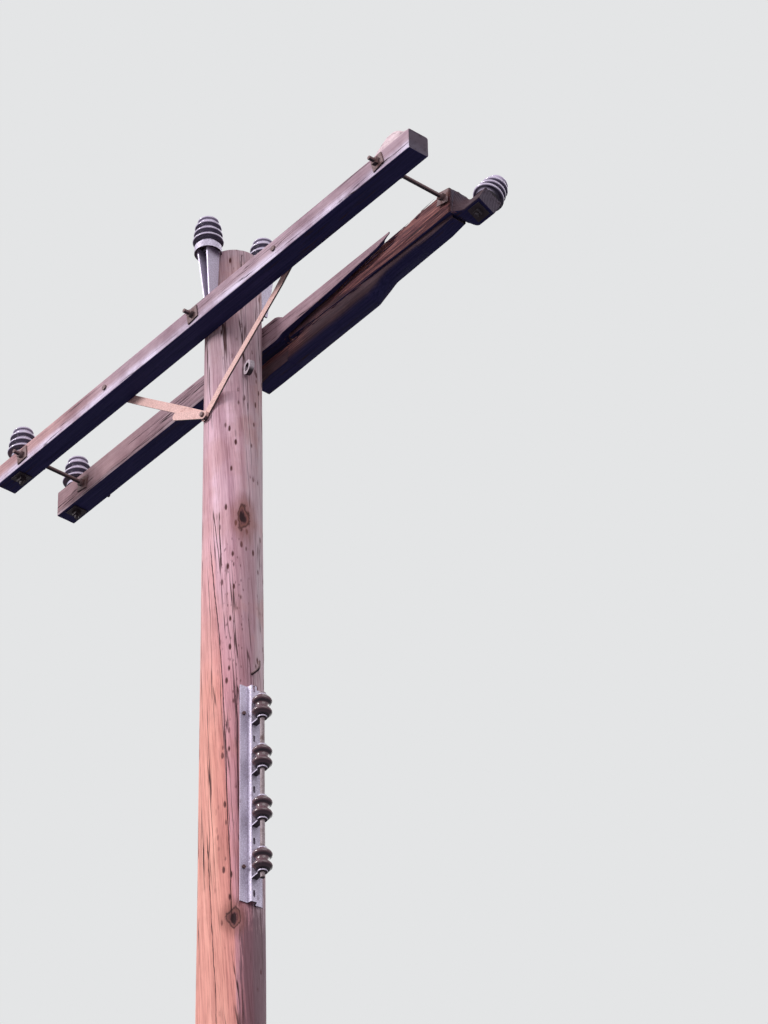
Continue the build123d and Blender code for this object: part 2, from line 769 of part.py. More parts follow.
# Screws that hold the two brackets: two in each, their heads inside the channel
with BuildPart() as top_bracket_screws:
    for plan, seat, heights in (
        (near_bracket_front, near_bracket_seat, near_screw_heights),
        (far_bracket_front, far_bracket_seat, far_screw_heights),
    ):
        with BuildSketch(plan.offset(seat + bracket_steel)):
            with Locations([(0, height) for height in heights]):
                RegularPolygon(0.7 * rack_screw_diameter, 6)
        extrude(amount=0.7 * rack_screw_diameter)
        with BuildSketch(plan.offset(seat + bracket_steel)):
            with Locations([(0, height) for height in heights]):
                Circle(rack_screw_diameter / 2)
        extrude(amount=-bracket_steel - bracket_screw_length)
top_bracket_screws.part.label = "top_bracket_screws"
export_step(top_bracket_screws.part, "parts/top_bracket_screws.step")

# Stud of a bracket insulator: foot, stud through the cap and its nut
with BuildPart() as bracket_stud:
    add(insulator_foot.part)
    with BuildSketch(Plane.XY):
        Circle(stud_diameter / 2)
    extrude(amount=-bracket_steel - nut_height - bolt_stick_out / 4)
    with BuildSketch(Plane.XY.offset(-bracket_steel)):
        Rectangle(nut_across_flats, nut_across_flats)
    extrude(amount=-nut_height)

with BuildPart() as near_top_insulator:
    with Locations(near_bracket_stud):
        add(porcelain.part)
near_top_insulator.part.label = "near_top_insulator"
export_step(near_top_insulator.part, "parts/near_top_insulator.step")

with BuildPart() as near_top_stud:
    with Locations(near_bracket_stud):
        add(bracket_stud.part)
near_top_stud.part.label = "near_top_stud"
export_step(near_top_stud.part, "parts/near_top_stud.step")

with BuildPart() as far_top_insulator:
    with Locations(far_bracket_stud):
        add(porcelain.part)
far_top_insulator.part.label = "far_top_insulator"
export_step(far_top_insulator.part, "parts/far_top_insulator.step")

with BuildPart() as far_top_stud:
    with Locations(far_bracket_stud):
        add(bracket_stud.part)
far_top_stud.part.label = "far_top_stud"
export_step(far_top_stud.part, "parts/far_top_stud.step")

# Tipped insulator: it still stands on the rolled end block
with BuildPart() as tipped_insulator:
    with Locations(tipped_plane.location):
        add(porcelain.part)
tipped_insulator.part.label = "tipped_insulator"
export_step(tipped_insulator.part, "parts/tipped_insulator.step")

with BuildPart() as tipped_stud:
    with Locations(tipped_plane.location):
        add(insulator_foot.part)
    with BuildSketch(tipped_plane):
        Circle(stud_diameter / 2)
    extrude(amount=-twisted_block_depth - stud_tail)
    with BuildSketch(tipped_plane.offset(-twisted_block_depth)):
        Rectangle(washer_size, washer_size)
    extrude(amount=-washer_thickness)
    with BuildSketch(tipped_plane.offset(-twisted_block_depth - washer_thickness)):
        Rectangle(nut_across_flats, nut_across_flats)
    extrude(amount=-nut_height)
tipped_stud.part.label = "tipped_stud"
export_step(tipped_stud.part, "parts/tipped_stud.step")

# Rack: a hat-shaped steel back with slots along its rib and a pair of ears for each spool
with BuildPart() as rack_channel:
    with BuildSketch(rack_plan.offset(rack_bottom_height)):
        with BuildLine():
            Polyline(
                (rack_seat, -rack_width / 2),
                (rack_seat + rack_steel, -rack_width / 2),
                (rack_seat + rack_steel, -rib_foot_width / 2),
                (rack_face, -rib_width / 2),
                (rack_face, rib_width / 2),
                (rack_seat + rack_steel, rib_foot_width / 2),
                (rack_seat + rack_steel, rack_width / 2),
                (rack_seat, rack_width / 2),
                (rack_seat, rib_foot_width / 2 - rack_steel),
                (rack_face - rack_steel, rib_width / 2 - rack_steel),
                (rack_face - rack_steel, -rib_width / 2 + rack_steel),
                (rack_seat, -rib_foot_width / 2 + rack_steel),
                close=True,
            )
        make_face()
    extrude(amount=rack_length)
    ear_offset = spool_height / 2 + ear_gap
    for height in spool_heights:
        for level in (height + ear_offset, height - ear_offset - ear_thickness):
            with BuildSketch(rack_plan.offset(level)):
                with Locations((rack_face - rack_steel / 2, 0)):
                    Rectangle(
                        rack_reach + rack_steel / 2, rib_width, align=(Align.MIN, Align.CENTER)
                    )
                with Locations((rod_place, 0)):
                    Circle(ear_width / 2)
                    Circle(rod_diameter / 2 + bolt_clearance, mode=Mode.SUBTRACT)
            extrude(amount=ear_thickness)
    with BuildSketch(rack_front.offset(rack_face - rack_steel)):
        with Locations([(0, height) for height in slot_heights]):
            SlotOverall(rack_slot_length, rack_slot_width, rotation=90)
    extrude(amount=rack_steel, mode=Mode.SUBTRACT)
    with BuildSketch(rack_front.offset(rack_seat)):
        with Locations(rack_screws):
            Circle(rack_screw_hole / 2)
    extrude(amount=rack_steel, mode=Mode.SUBTRACT)
rack_channel.part.label = "rack_channel"
export_step(rack_channel.part, "parts/rack_channel.step")

# Rod that carries the four spools, headed at its upper end
with BuildPart() as rack_rod:
    rod_top = spool_heights[0] + ear_offset + ear_thickness
    rod_bottom = spool_heights[-1] - ear_offset - ear_thickness - rod_tail
    with BuildSketch(rack_plan.offset(rod_top)):
        with Locations((rod_place, 0)):
            Circle(rod_diameter / 2)
    extrude(amount=rod_bottom - rod_top)
    with BuildSketch(rack_plan.offset(rod_top)):
        with Locations((rod_place, 0)):
            Circle(0.8 * rod_diameter)
    extrude(amount=rod_diameter / 2)
rack_rod.part.label = "rack_rod"
export_step(rack_rod.part, "parts/rack_rod.step")

# Porcelain spools, each free to turn on the rod: flared flanges round a wire groove
with BuildPart() as spool:
    with BuildSketch(Plane.XZ):
        with BuildLine():
            Polyline(
                (spool_bore / 2, -spool_height / 2),
                (spool_end_diameter / 2, -spool_height / 2),
                (spool_diameter / 2, -spool_flange_spread / 2),
                (spool_groove_radius, -spool_groove_half_height),
                (spool_groove_radius, spool_groove_half_height),
                (spool_diameter / 2, spool_flange_spread / 2),
                (spool_end_diameter / 2, spool_height / 2),
                (spool_bore / 2, spool_height / 2),
                close=True,
            )
        make_face()
    revolve(axis=Axis.Z)

for i in range(spool_count):
    with BuildPart() as rack_spool:
        with Locations(rack_plan.offset(spool_heights[i]).location * Location((rod_place, 0, 0))):
            add(spool.part)
    rack_spool.part.label = f"rack_spool_{i + 1}"
    export_step(rack_spool.part, f"parts/rack_spool_{i + 1}.step")

# Screws that hold the rack, two in each side flange
with BuildPart() as rack_screw_set:
    with BuildSketch(rack_front.offset(rack_seat + rack_steel)):
        with Locations(rack_screws):
            RegularPolygon(0.7 * rack_screw_diameter, 6)
    extrude(amount=0.7 * rack_screw_diameter)
    with BuildSketch(rack_front.offset(rack_seat + rack_steel)):
        with Locations(rack_screws):
            Circle(rack_screw_diameter / 2)
    extrude(amount=-rack_steel - rack_screw_length)
rack_screw_set.part.label = "rack_bolts"
export_step(rack_screw_set.part, "parts/rack_bolts.step")

# Eye bolt for the upper stay, its eye against the pole's right side
with BuildPart() as guy_eye_bolt:
    eye_seat = pole_radius(eye_bolt_height) + seat_clearance
    eye_outer_radius = eye_inside_diameter / 2 + eye_ring_thickness
    eye_centre = eye_seat + eye_outer_radius
    eye_side = Plane(origin=(0, 0, 0), x_dir=eye_bolt_front.z_dir, z_dir=-eye_bolt_front.x_dir)
    with BuildSketch(eye_side):
        with Locations((eye_centre, eye_bolt_height)):
            Circle(eye_outer_radius)
            Circle(eye_inside_diameter / 2, mode=Mode.SUBTRACT)
    extrude(amount=eye_bar_thickness / 2, both=True)
    with BuildSketch(eye_bolt_front.offset(eye_seat + eye_ring_thickness / 2)):
        with Locations((0, eye_bolt_height)):
            Circle(bolt_diameter / 2)
    extrude(amount=-2 * eye_seat - eye_ring_thickness / 2 - bolt_stick_out)
    with BuildSketch(eye_bolt_front.offset(-eye_seat)):
        with Locations((0, eye_bolt_height)):
            Rectangle(washer_size, washer_size)
    extrude(amount=-washer_thickness)
    with BuildSketch(eye_bolt_front.offset(-eye_seat - washer_thickness)):
        with Locations((0, eye_bolt_height)):
            Rectangle(nut_across_flats, nut_across_flats)
    extrude(amount=-nut_height)
guy_eye_bolt.part.label = "guy_eye_bolt"
export_step(guy_eye_bolt.part, "parts/guy_eye_bolt.step")

# Drive hook: a round bar driven into the pole's right side, its end turned up
with BuildPart() as drive_hook:
    hook_start = pole_radius(hook_height) - hook_shank_length
    hook_end = pole_radius(hook_height) + hook_reach
    with BuildLine(Plane.XZ):
        FilletPolyline(
            (hook_start, hook_height),
            (hook_end, hook_height),
            (hook_end, hook_height + hook_lift),
            radius=hook_bend,
        )
    with BuildSketch(Plane.YZ.offset(hook_start)):
        with Locations((0, hook_height)):
            Circle(hook_bar_diameter / 2)
    sweep()
drive_hook.part.label = "drive_hook"
export_step(drive_hook.part, "parts/drive_hook.step")
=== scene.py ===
import json
import math
import random

import bmesh
import bpy
from mathutils import Matrix, Vector, noise

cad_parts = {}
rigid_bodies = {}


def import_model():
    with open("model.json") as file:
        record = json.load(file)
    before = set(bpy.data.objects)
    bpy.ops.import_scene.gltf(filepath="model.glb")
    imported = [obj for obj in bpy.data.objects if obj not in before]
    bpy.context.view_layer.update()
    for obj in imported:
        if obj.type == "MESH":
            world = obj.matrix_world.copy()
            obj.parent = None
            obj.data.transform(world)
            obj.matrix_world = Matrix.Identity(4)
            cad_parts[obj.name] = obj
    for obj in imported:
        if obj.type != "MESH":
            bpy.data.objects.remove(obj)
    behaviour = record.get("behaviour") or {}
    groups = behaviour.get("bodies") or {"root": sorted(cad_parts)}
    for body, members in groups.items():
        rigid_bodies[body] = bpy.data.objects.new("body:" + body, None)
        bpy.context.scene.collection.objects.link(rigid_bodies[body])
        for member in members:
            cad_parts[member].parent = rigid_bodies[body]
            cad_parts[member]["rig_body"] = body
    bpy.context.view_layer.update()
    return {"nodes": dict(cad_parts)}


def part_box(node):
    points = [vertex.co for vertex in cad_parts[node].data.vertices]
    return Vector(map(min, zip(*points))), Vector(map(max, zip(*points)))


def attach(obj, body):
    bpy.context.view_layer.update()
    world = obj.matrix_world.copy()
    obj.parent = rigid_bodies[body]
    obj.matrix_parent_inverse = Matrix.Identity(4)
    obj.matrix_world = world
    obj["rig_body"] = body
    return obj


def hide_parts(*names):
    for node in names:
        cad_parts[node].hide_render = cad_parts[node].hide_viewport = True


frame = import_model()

# Pole: a pressure-treated pine log, debarked and tapered, 11.7 m above the ground.
# Decades outside have opened long spiral drying checks and silvered its right side.
# Its left side is orange, partly bleached and partly painted light from the left;
# spur holes and knots pit its face.
pole_height = 11.7
pole_foot_radius = 0.1495
pole_top_radius = 0.104
pole_twist = 0.58  # radians that the grain turns in each metre of height
gain_flat = 0.09725  # from the pole's middle to the flats that the arms lie on
gain_half_height = 0.06
arm_height = 11.378
check_band = 0.014  # how far to each side a check's own shading reaches

# Each check has its depth, its width, and the (height, bearing in degrees) points
# through which it follows the spiral grain
pole_checks = [
    (0.006, 0.0034, [(10.5, -92), (10.257, -79.6), (10.1, -70.5), (9.98, -64), (9.737, -55.4),
                     (9.4, -47), (9.0, -40), (8.7, -36)]),
    (0.008, 0.0032, [(9.86, -31), (9.6, -28.5), (9.35, -27), (9.1, -25)]),
    (0.006, 0.0030, [(9.3, -88), (9.0, -80), (8.7, -70), (8.3, -58)]),
    (0.009, 0.0030, [(11.68, -20), (11.5, -24), (11.3, -16)]),
    (0.012, 0.0036, [(11.1, 60), (10.2, 84), (9.2, 112), (8.4, 130)]),
    (0.012, 0.0036, [(11.68, 150), (11.2, 158), (10.5, 176), (9.8, 190)]),
    (0.009, 0.0030, [(8.7, -22), (8.1, -10), (7.4, 4)]),
    (0.013, 0.0040, [(7.9, -140), (6.2, -92), (4.6, -40), (3.6, -10)]),
    (0.012, 0.0040, [(6.4, 20), (4.8, 66), (3.2, 110)]),
    (0.014, 0.0044, [(4.2, -170), (2.4, -120), (0.6, -70)]),
    (0.012, 0.0040, [(2.9, 30), (1.4, 72), (0.3, 100)]),
]

# Each knot has its height, its bearing in degrees, and half its width and height
pole_knots = [
    (10.468, -16, 0.028, 0.06), (8.832, -35, 0.026, 0.044), (9.95, 70, 0.02, 0.035),
    (10.9, 150, 0.018, 0.035), (7.6, 10, 0.022, 0.045), (6.3, -75, 0.024, 0.045),
    (4.4, 120, 0.024, 0.045), (2.7, -20, 0.025, 0.05), (5.1, -150, 0.022, 0.04),
]


def linear(code):
    """A paint colour written as six hexadecimal digits, as the shader wants it."""
    parts = [int(code[i:i + 2], 16) / 255 for i in (0, 2, 4)]
    return [c / 12.92 if c < 0.04045 else ((c + 0.055) / 1.055) ** 2.4 for c in parts] + [1]


def put(tree, kind, settings=None, **inputs):
    """A new node with its settings and its plain input values."""
    node = tree.nodes.new(kind)
    for key, value in (settings or {}).items():
        setattr(node, key, value)
    for key, value in inputs.items():
        node.inputs[key.replace("_", " ")].default_value = value
    return node


def feed(tree, node, socket, value):
    """Gives an input a (node, output) pair, a number or a colour code."""
    if isinstance(value, tuple):
        tree.links.new(value[0].outputs[value[1]], node.inputs[socket])
    else:
        node.inputs[socket].default_value = linear(value) if isinstance(value, str) else value


def over(tree, kind, source, settings=None, **inputs):
    """A new node that works on a vector, given as a (node, output) pair."""
    node = put(tree, kind, settings, **inputs)
    feed(tree, node, "Vector", source)
    return node


def sums(tree, operation, first, second, clamp=False):
    """A Math node's value; here and below an input is a number or a pair."""
    node = put(tree, "ShaderNodeMath", {"operation": operation, "use_clamp": clamp})
    feed(tree, node, 0, first)
    feed(tree, node, 1, second)
    return node, 0


def product(tree, *masks):
    """Several masks multiplied with each other."""
    result = masks[0]
    for mask in masks[1:]:
        result = sums(tree, "MULTIPLY", result, mask)
    return result


def span(tree, source, low, high, to_low=0.0, to_high=1.0, shape="SMOOTHSTEP"):
    """A smooth or linear step from one range to another."""
    node = put(tree, "ShaderNodeMapRange", {"interpolation_type": shape})
    for i, value in enumerate((source, low, high, to_low, to_high)):
        feed(tree, node, i, value)
    return node, 0


def ramp(tree, source, stops):
    """A colour ramp; its stops are (place, colour code)."""
    node = put(tree, "ShaderNodeValToRGB")
    band = node.color_ramp
    band.elements[0].position, band.elements[0].color = stops[0][0], linear(stops[0][1])
    band.elements[1].position, band.elements[1].color = stops[-1][0], linear(stops[-1][1])
    for place, code in stops[1:-1]:
        band.elements.new(place).color = linear(code)
    feed(tree, node, 0, source)
    return node, 0


def mixed(tree, share, first, second, blend="MIX"):
    """Two colours mixed, each a colour code or a pair."""
    node = put(tree, "ShaderNodeMix", {"data_type": "RGBA", "blend_type": blend})
    for socket, value in ((0, share), (6, first), (7, second)):
        feed(tree, node, socket, value)
    return node, 2


def cloudy(tree, source, scale, detail, roughness):
    """A noise texture's value."""
    kind = "ShaderNodeTexNoise"
    return over(tree, kind, source, Scale=scale, Detail=detail, Roughness=roughness), "Fac"


def end_rings(tree, source, axis, scale, distortion):
    """The growth rings of end grain round an axis."""
    settings = {"wave_type": "RINGS", "rings_direction": axis}
    rings = over(tree, "ShaderNodeTexWave", source, settings,
                 Scale=scale, Distortion=distortion, Detail=3)
    return rings, "Fac"


def mapped(tree, source, settings=None, **inputs):
    """A vector moved, turned or scaled by a Mapping node."""
    return over(tree, "ShaderNodeMapping", source, settings, **inputs), 0


def along_way(tree, source, direction):
    """How far a vector reaches in a direction."""
    node = put(tree, "ShaderNodeVectorMath", {"operation": "DOT_PRODUCT"})
    node.inputs[1].default_value = direction
    feed(tree, node, 0, source)
    return node, "Value"


def axes_of(tree, source):
    """A vector's X, Y and Z."""
    node = over(tree, "ShaderNodeSeparateXYZ", source)
    return (node, "X"), (node, "Y"), (node, "Z")


def object_place(tree):
    return put(tree, "ShaderNodeTexCoord"), "Object"


def facing(tree):
    """The X, Y and Z of the way that the surface faces."""
    return axes_of(tree, (put(tree, "ShaderNodeNewGeometry"), "Normal"))


def attribute(tree, name):
    """A number that the mesh holds for each vertex."""
    return put(tree, "ShaderNodeAttribute", {"attribute_name": name}), "Fac"


def new_material(name):
    material = bpy.data.materials.new(name)
    material.use_nodes = True
    return material, material.node_tree, material.node_tree.nodes["Principled BSDF"]


def new_group(name, inputs, outputs):
    """An empty node group with its sockets, its entry and its exit."""
    group = bpy.data.node_groups.new(name, "ShaderNodeTree")
    for socket, kind in inputs:
        group.interface.new_socket(socket, in_out="INPUT", socket_type=kind)
    for socket in outputs:
        group.interface.new_socket(socket, in_out="OUTPUT", socket_type="NodeSocketFloat")
    return group, group.nodes.new("NodeGroupInput"), group.nodes.new("NodeGroupOutput")


def relief(tree, shader, height, strength, distance):
    """A bump on the shader's normal."""
    bump = put(tree, "ShaderNodeBump", Strength=strength, Distance=distance)
    feed(tree, bump, "Height", height)
    feed(tree, shader, "Normal", (bump, "Normal"))


def wood_fibre_group():
    """Streaks, patches and drying cracks of old softwood, run along the grain."""
    group, enter, leave = new_group(
        "Wood fibre", [("Grain", "NodeSocketVector"), ("Crack width", "NodeSocketFloat")],
        ("Streaks", "Patches", "Cracks", "Relief"),
    )
    grain = enter, "Grain"
    fine = cloudy(group, grain, 190, 7, 0.68)
    broad = cloudy(group, grain, 26, 4, 0.6)
    split = cloudy(group, grain, 62, 2, 0.4)
    off = sums(group, "ABSOLUTE", sums(group, "SUBTRACT", split, 0.5), 0)
    ratio = sums(group, "DIVIDE", off, (enter, "Crack width"))
    line = span(group, ratio, 0.25, 1.0, 1.0, 0.0)
    cracks = product(group, line, span(group, broad, 0.47, 0.6))
    streaks = span(group, fine, 0.3, 0.7)
    height = sums(group, "SUBTRACT", sums(group, "MULTIPLY", streaks, 0.35), cracks)
    feed(group, leave, "Streaks", streaks)
    feed(group, leave, "Patches", broad)
    feed(group, leave, "Cracks", cracks)
    feed(group, leave, "Relief", height)
    return group


wood_fibre = wood_fibre_group()


def fibre_of(tree, place, stretch, crack_width, twist=0.0):
    """The fibre group on a piece's coordinates, stretched along the grain."""
    if twist:
        turned = over(tree, "ShaderNodeVectorRotate", place, {"rotation_type": "Z_AXIS"})
        feed(tree, turned, "Angle", sums(tree, "MULTIPLY", axes_of(tree, place)[2], twist))
        place = turned, "Vector"
    fibre = put(tree, "ShaderNodeGroup", {"node_tree": wood_fibre}, Crack_width=crack_width)
    feed(tree, fibre, "Grain", mapped(tree, place, Scale=stretch))
    return fibre


def wood_surface(tree, shader, fibre, dry_rough, damp_rough):
    """Dull wood, rougher in some patches than in others."""
    rough = span(tree, (fibre, "Patches"), 0.3, 0.7, dry_rough, damp_rough)
    feed(tree, shader, "Roughness", rough)
    shader.inputs["Specular IOR Level"].default_value = 0.25


def weathered_and_lit_colour(tree, side, height, high):
    """Orange to pink below, paler toward the top and silver on the right; lighter to the left as
    painted light.
    """
    # The orange face, partly bleached and partly painted light, ends at a check along the spiral
    # grain
    spiral = span(tree, height, 8.3, 10.4, -0.34, 0.03, shape="LINEAR")
    lit_and_bleached = sums(tree, "ADD", side, spiral, clamp=True)
    lower = ramp(tree, lit_and_bleached, [
        (0.0, "f8b6a8"), (0.1, "f8b4a6"), (0.235, "f6aca4"), (0.265, "e6aab4"),
        (0.42, "e4aab4"), (0.56, "d09ca8"), (0.7, "b88e9c"), (1.0, "b08c98"),
    ])
    silver = span(tree, side, 0.78, 0.86, 0.0, 0.85)
    lower = mixed(tree, silver, lower, "ccb8c0")
    upper = ramp(tree, side, [
        (0.0, "ecd0da"), (0.15, "eac4d4"), (0.3, "eeccdc"), (0.42, "f8d6e8"),
        (0.54, "f6d0e0"), (0.66, "e0c0cc"), (0.8, "ccb6c0"), (1.0, "c0b0b8"),
    ])
    colour = mixed(tree, span(tree, high, 9.45, 10.9), lower, upper)
    # The head among the arms is greyer and darker: partly weathering, partly painted shade of
    # the arms
    return mixed(tree, span(tree, high, 10.8, 11.35), colour, "ccb4be")


def dark_strip_below_rack(tree, place, fibre, side, high):
    """A darker strip down the pole's right side below the rack."""
    rack_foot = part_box("rack_channel")[0].z
    frayed = span(tree, (fibre, "Streaks"), 0, 1, -0.07, 0.07)
    run = sums(tree, "ADD", high, frayed)
    below = span(tree, run, rack_foot + 0.02, rack_foot - 0.12)
    fading = span(tree, run, rack_foot - 2.6, rack_foot - 1.0)
    strip = span(tree, sums(tree, "ADD", side, frayed), 0.56, 0.66, 0.0, 0.8)
    sector = span(tree, along_way(tree, place, (0.79, -0.613, 0)), -0.03, 0.03)
    return product(tree, below, fading, strip, sector)


def spots(tree, source, scale, low, high, strength):
    """Small round spots, strongest in their middle."""
    cells = over(tree, "ShaderNodeTexVoronoi", source, Scale=scale, Randomness=1)
    return span(tree, (cells, "Distance"), low, high, strength, 0.0)


def spur_pits(tree, squeezed, blotch, side, height):
    """Pits and flecks, thickest on the stretch of the face that was climbed most."""
    middle = span(tree, side, 0.2, 0.42)
    climbed = product(tree, span(tree, height, 10.55, 10.3), span(tree, height, 9.4, 9.7))
    few = sums(tree, "MAXIMUM", span(tree, blotch, 0.43, 0.54), climbed)
    pit = product(tree, spots(tree, squeezed, 40, 0.12, 0.24, 1.0), product(tree, few, middle))
    among = product(tree, climbed, span(tree, side, 0.8, 0.7))
    fleck = product(tree, spots(tree, squeezed, 88, 0.1, 0.26, 0.55), among, middle)
    return sums(tree, "MAXIMUM", pit, fleck)


def pole_radius(height):
    return pole_foot_radius + (pole_top_radius - pole_foot_radius) * height / pole_height


def knot_distance(tree, place):
    """How far off the nearest knot is, counted in that knot's own radii."""
    nearest = 9
    for height, line, wide, tall in pole_knots:
        turn = math.radians(line)
        out = pole_radius(height)
        centre = (out * math.cos(turn), out * math.sin(turn), height)
        knot = mapped(tree, place, {"vector_type": "TEXTURE"}, Location=centre,
                      Rotation=(0, 0, turn), Scale=(2 * wide, wide, tall))
        reach = put(tree, "ShaderNodeVectorMath", {"operation": "LENGTH"})
        feed(tree, reach, 0, knot)
        nearest = sums(tree, "MINIMUM", nearest, (reach, "Value"))
    return nearest


def check_line(tree, rag):
    """The dark open line of each check, with ragged lips."""
    ragged = span(tree, rag, 0.3, 0.7, -0.09, 0.09)
    aside = sums(tree, "ADD", attribute(tree, "check_side"), ragged)
    off = sums(tree, "ABSOLUTE", aside, 0)
    opening = span(tree, off, 0.05, 0.17, 1.0, 0.0)
    return product(tree, opening, span(tree, attribute(tree, "check"), 0.3, 0.7))


def pole_material():
    material, tree, shader = new_material("Weathered pole")
    place = object_place(tree)
    fibre = fibre_of(tree, place, (1, 1, 0.035), 0.035, twist=pole_twist)
    height = axes_of(tree, place)[2]
    blotch = cloudy(tree, place, 5, 5, 0.6)
    high = sums(tree, "ADD", height, span(tree, blotch, 0.3, 0.7, -0.11, 0.11))

    # The face runs from orange on the left, partly bleached and partly painted light, to silver
    # grey on the right
    across = along_way(tree, place, (0.613, 0.79, 0))
    side = span(tree, across, -0.125, 0.125, shape="LINEAR")
    grain_edge = cloudy(tree, mapped(tree, place, Scale=(1, 1, 0.13)), 7, 4, 0.55)
    sway = span(tree, grain_edge, 0.3, 0.7, -0.05, 0.05)
    side = sums(tree, "ADD", side, sway, clamp=True)
    colour = weathered_and_lit_colour(tree, side, height, high)
    colour = mixed(tree, span(tree, blotch, 0.5, 0.66, 0.0, 0.3), colour, "cc9284")
    # A darker strip down the pole's right side below the rack
    colour = mixed(tree, dark_strip_below_rack(tree, place, fibre, side, high), colour, "6c505c")

    # Splashed soil and damp darken the foot
    colour = mixed(tree, span(tree, high, 0.95, 0.1, 0.0, 0.75), colour, "7c645e")

    # Streaks and clouds along the fibre, then grime in the cracks and pits
    shade = ramp(tree, (fibre, "Streaks"), [(0.0, "b8a4a8"), (0.45, "eeeaea"), (1.0, "ffffff")])
    colour = mixed(tree, 0.7, colour, shade, "MULTIPLY")
    cloud = ramp(tree, (fibre, "Patches"), [(0.3, "b698a0"), (0.46, "eadcdc"), (0.64, "ffffff")])
    colour = mixed(tree, 0.75, colour, cloud, "MULTIPLY")
    colour = mixed(tree, (fibre, "Cracks"), colour, "4a2f30")
    squeezed = mapped(tree, place, Scale=(1, 1, 0.34))
    pit = spur_pits(tree, squeezed, blotch, side, height)
    colour = mixed(tree, pit, colour, "552e30")

    # Knots: a resin stain, a rough ring and a dark heart
    rag = cloudy(tree, squeezed, 30, 5, 0.6)
    ragged = span(tree, rag, 0.3, 0.7, -0.24, 0.24)
    knot = sums(tree, "ADD", knot_distance(tree, place), ragged)
    colour = mixed(tree, span(tree, knot, 0.8, 2.3, 0.65, 0.0), colour, "8a564e")
    heart = ramp(tree, knot, [
        (0.0, "26141a"), (0.42, "341c20"), (0.56, "74484a"), (0.68, "865650"),
        (0.78, "5a3838"), (0.86, "5c3a3a"), (0.97, "9a6a64"),
    ])
    colour = mixed(tree, span(tree, knot, 0.82, 1.0, 1.0, 0.0), colour, heart)
    colour = mixed(tree, check_line(tree, rag), colour, "2a171a")

    # End grain on the cut top
    rings = ramp(tree, end_rings(tree, place, "Z", 55, 1.5), [(0.1, "64545a"), (0.8, "a08e92")])
    colour = mixed(tree, span(tree, facing(tree)[2], 0.75, 0.95), colour, rings)
    feed(tree, shader, "Base Color", colour)
    wood_surface(tree, shader, fibre, 0.72, 0.92)
    relief(tree, shader, sums(tree, "SUBTRACT", (fibre, "Relief"), pit), 0.8, 0.003)
    return material


def between(value, low, high):
    """A smooth rise from 0 at low to 1 at high."""
    t = min(1, max(0, (value - low) / (high - low)))
    return t * t * (3 - 2 * t)


def turn_from(line, bearing):
    """The shorter turn in degrees from one bearing to another."""
    return (bearing - line + 180) % 360 - 180


def bearing_at(points, height):
    """The bearing of a check at a height, or None past its ends."""
    for (z1, b1), (z0, b0) in zip(points, points[1:]):
        if z0 <= height <= z1:
            return b0 + (b1 - b0) * (height - z0) / (z1 - z0)
    return None


def check_ends(points, height):
    """How open a check is at a height: it closes at its ends, but not at the pole's top."""
    taper = 0.25
    lower = between(height - points[-1][0], 0, taper)
    if points[0][0] > pole_height - 0.1:
        return lower
    return between(points[0][0] - height, 0, taper) * lower


def knot_push(bearing, radius, height):
    """How far the knots raise their rims and sink their hearts at a point."""
    push = 0
    for middle, line, wide, tall in pole_knots:
        aside = math.radians(turn_from(line, bearing)) * radius / wide
        reach = math.hypot(aside, (height - middle) / tall)
        if reach < 1.6:
            push += 0.002 * math.exp(-((reach - 1) / 0.3) ** 2)
            push -= 0.005 * math.exp(-(reach / 0.5) ** 2)
    return push


def build_pole():
    mesh = bmesh.new()
    bmesh.ops.create_cone(
        mesh, cap_ends=True, segments=144, radius1=pole_foot_radius, radius2=pole_top_radius,
        depth=pole_height, matrix=Matrix.Translation((0, 0, pole_height / 2)),
    )
    upright = [e for e in mesh.edges if abs(e.verts[0].co.z - e.verts[1].co.z) > 1]
    bmesh.ops.subdivide_edges(mesh, edges=upright, cuts=600, use_grid_fill=True)

    # The rows of the mesh lie closer toward the top, which has the finest detail
    for vert in mesh.verts:
        height = pole_height * (1 - (1 - vert.co.z / pole_height) ** 1.7)
        grow = pole_radius(height) / pole_radius(vert.co.z)
        vert.co = Vector((vert.co.x * grow, vert.co.y * grow, height))
    top = max(mesh.faces, key=lambda f: f.calc_center_median().z)
    rim = set(top.verts)
    for inset in [0.006] + 5 * [0.014]:
        bmesh.ops.inset_individual(mesh, faces=[top], thickness=inset)

    check_layer = mesh.verts.layers.float.new("check")
    side_layer = mesh.verts.layers.float.new("check_side")
    for vert in mesh.verts:
        x, y, z = vert.co
        radius = math.hypot(x, y)
        bearing = math.degrees(math.atan2(y, x))
        turned = Matrix.Rotation(pole_twist * z, 3, "Z") @ Vector((x, y, 0))
        ridge = noise.noise(Vector((turned.x * 95, turned.y * 95, z * 1.3)))
        swell = noise.noise(Vector((x * 6, y * 6, z * 0.9)))
        push = -0.0012 + 0.0011 * ridge + 0.0022 * min(0, swell)
        for depth, width, points in pole_checks:
            line = bearing_at(points, z)
            if line is None:
                continue
            line += 2.2 * noise.noise(Vector((z * 5, depth * 900, 0)))
            turn = turn_from(line, bearing)
            if abs(turn) > 12:
                continue
            aside = math.radians(turn) * radius
            ends = check_ends(points, z)
            push -= depth * ends * math.exp(-(aside / width) ** 2)
            near = ends * (1 - abs(aside) / check_band)
            if near > vert[check_layer]:
                vert[check_layer] = near
                vert[side_layer] = aside / check_band
        push += knot_push(bearing, radius, z)

        # The cut top is worn, most at its rim, and only the round side is pushed in or out
        if z > pole_height - 1e-4:
            worn = 0.004 * noise.noise(Vector((x * 60, y * 60, 3)))
            vert.co.z -= 0.002 + max(0, worn) + (0.005 if vert in rim else 0)
        if radius > 0.09:
            scale = (radius + push) / radius
            vert.co.x, vert.co.y = x * scale, y * scale
        if abs(z - arm_height) < gain_half_height and abs(vert.co.y) > gain_flat:
            vert.co.y = math.copysign(gain_flat, vert.co.y)
    return settle("pole_log", mesh)


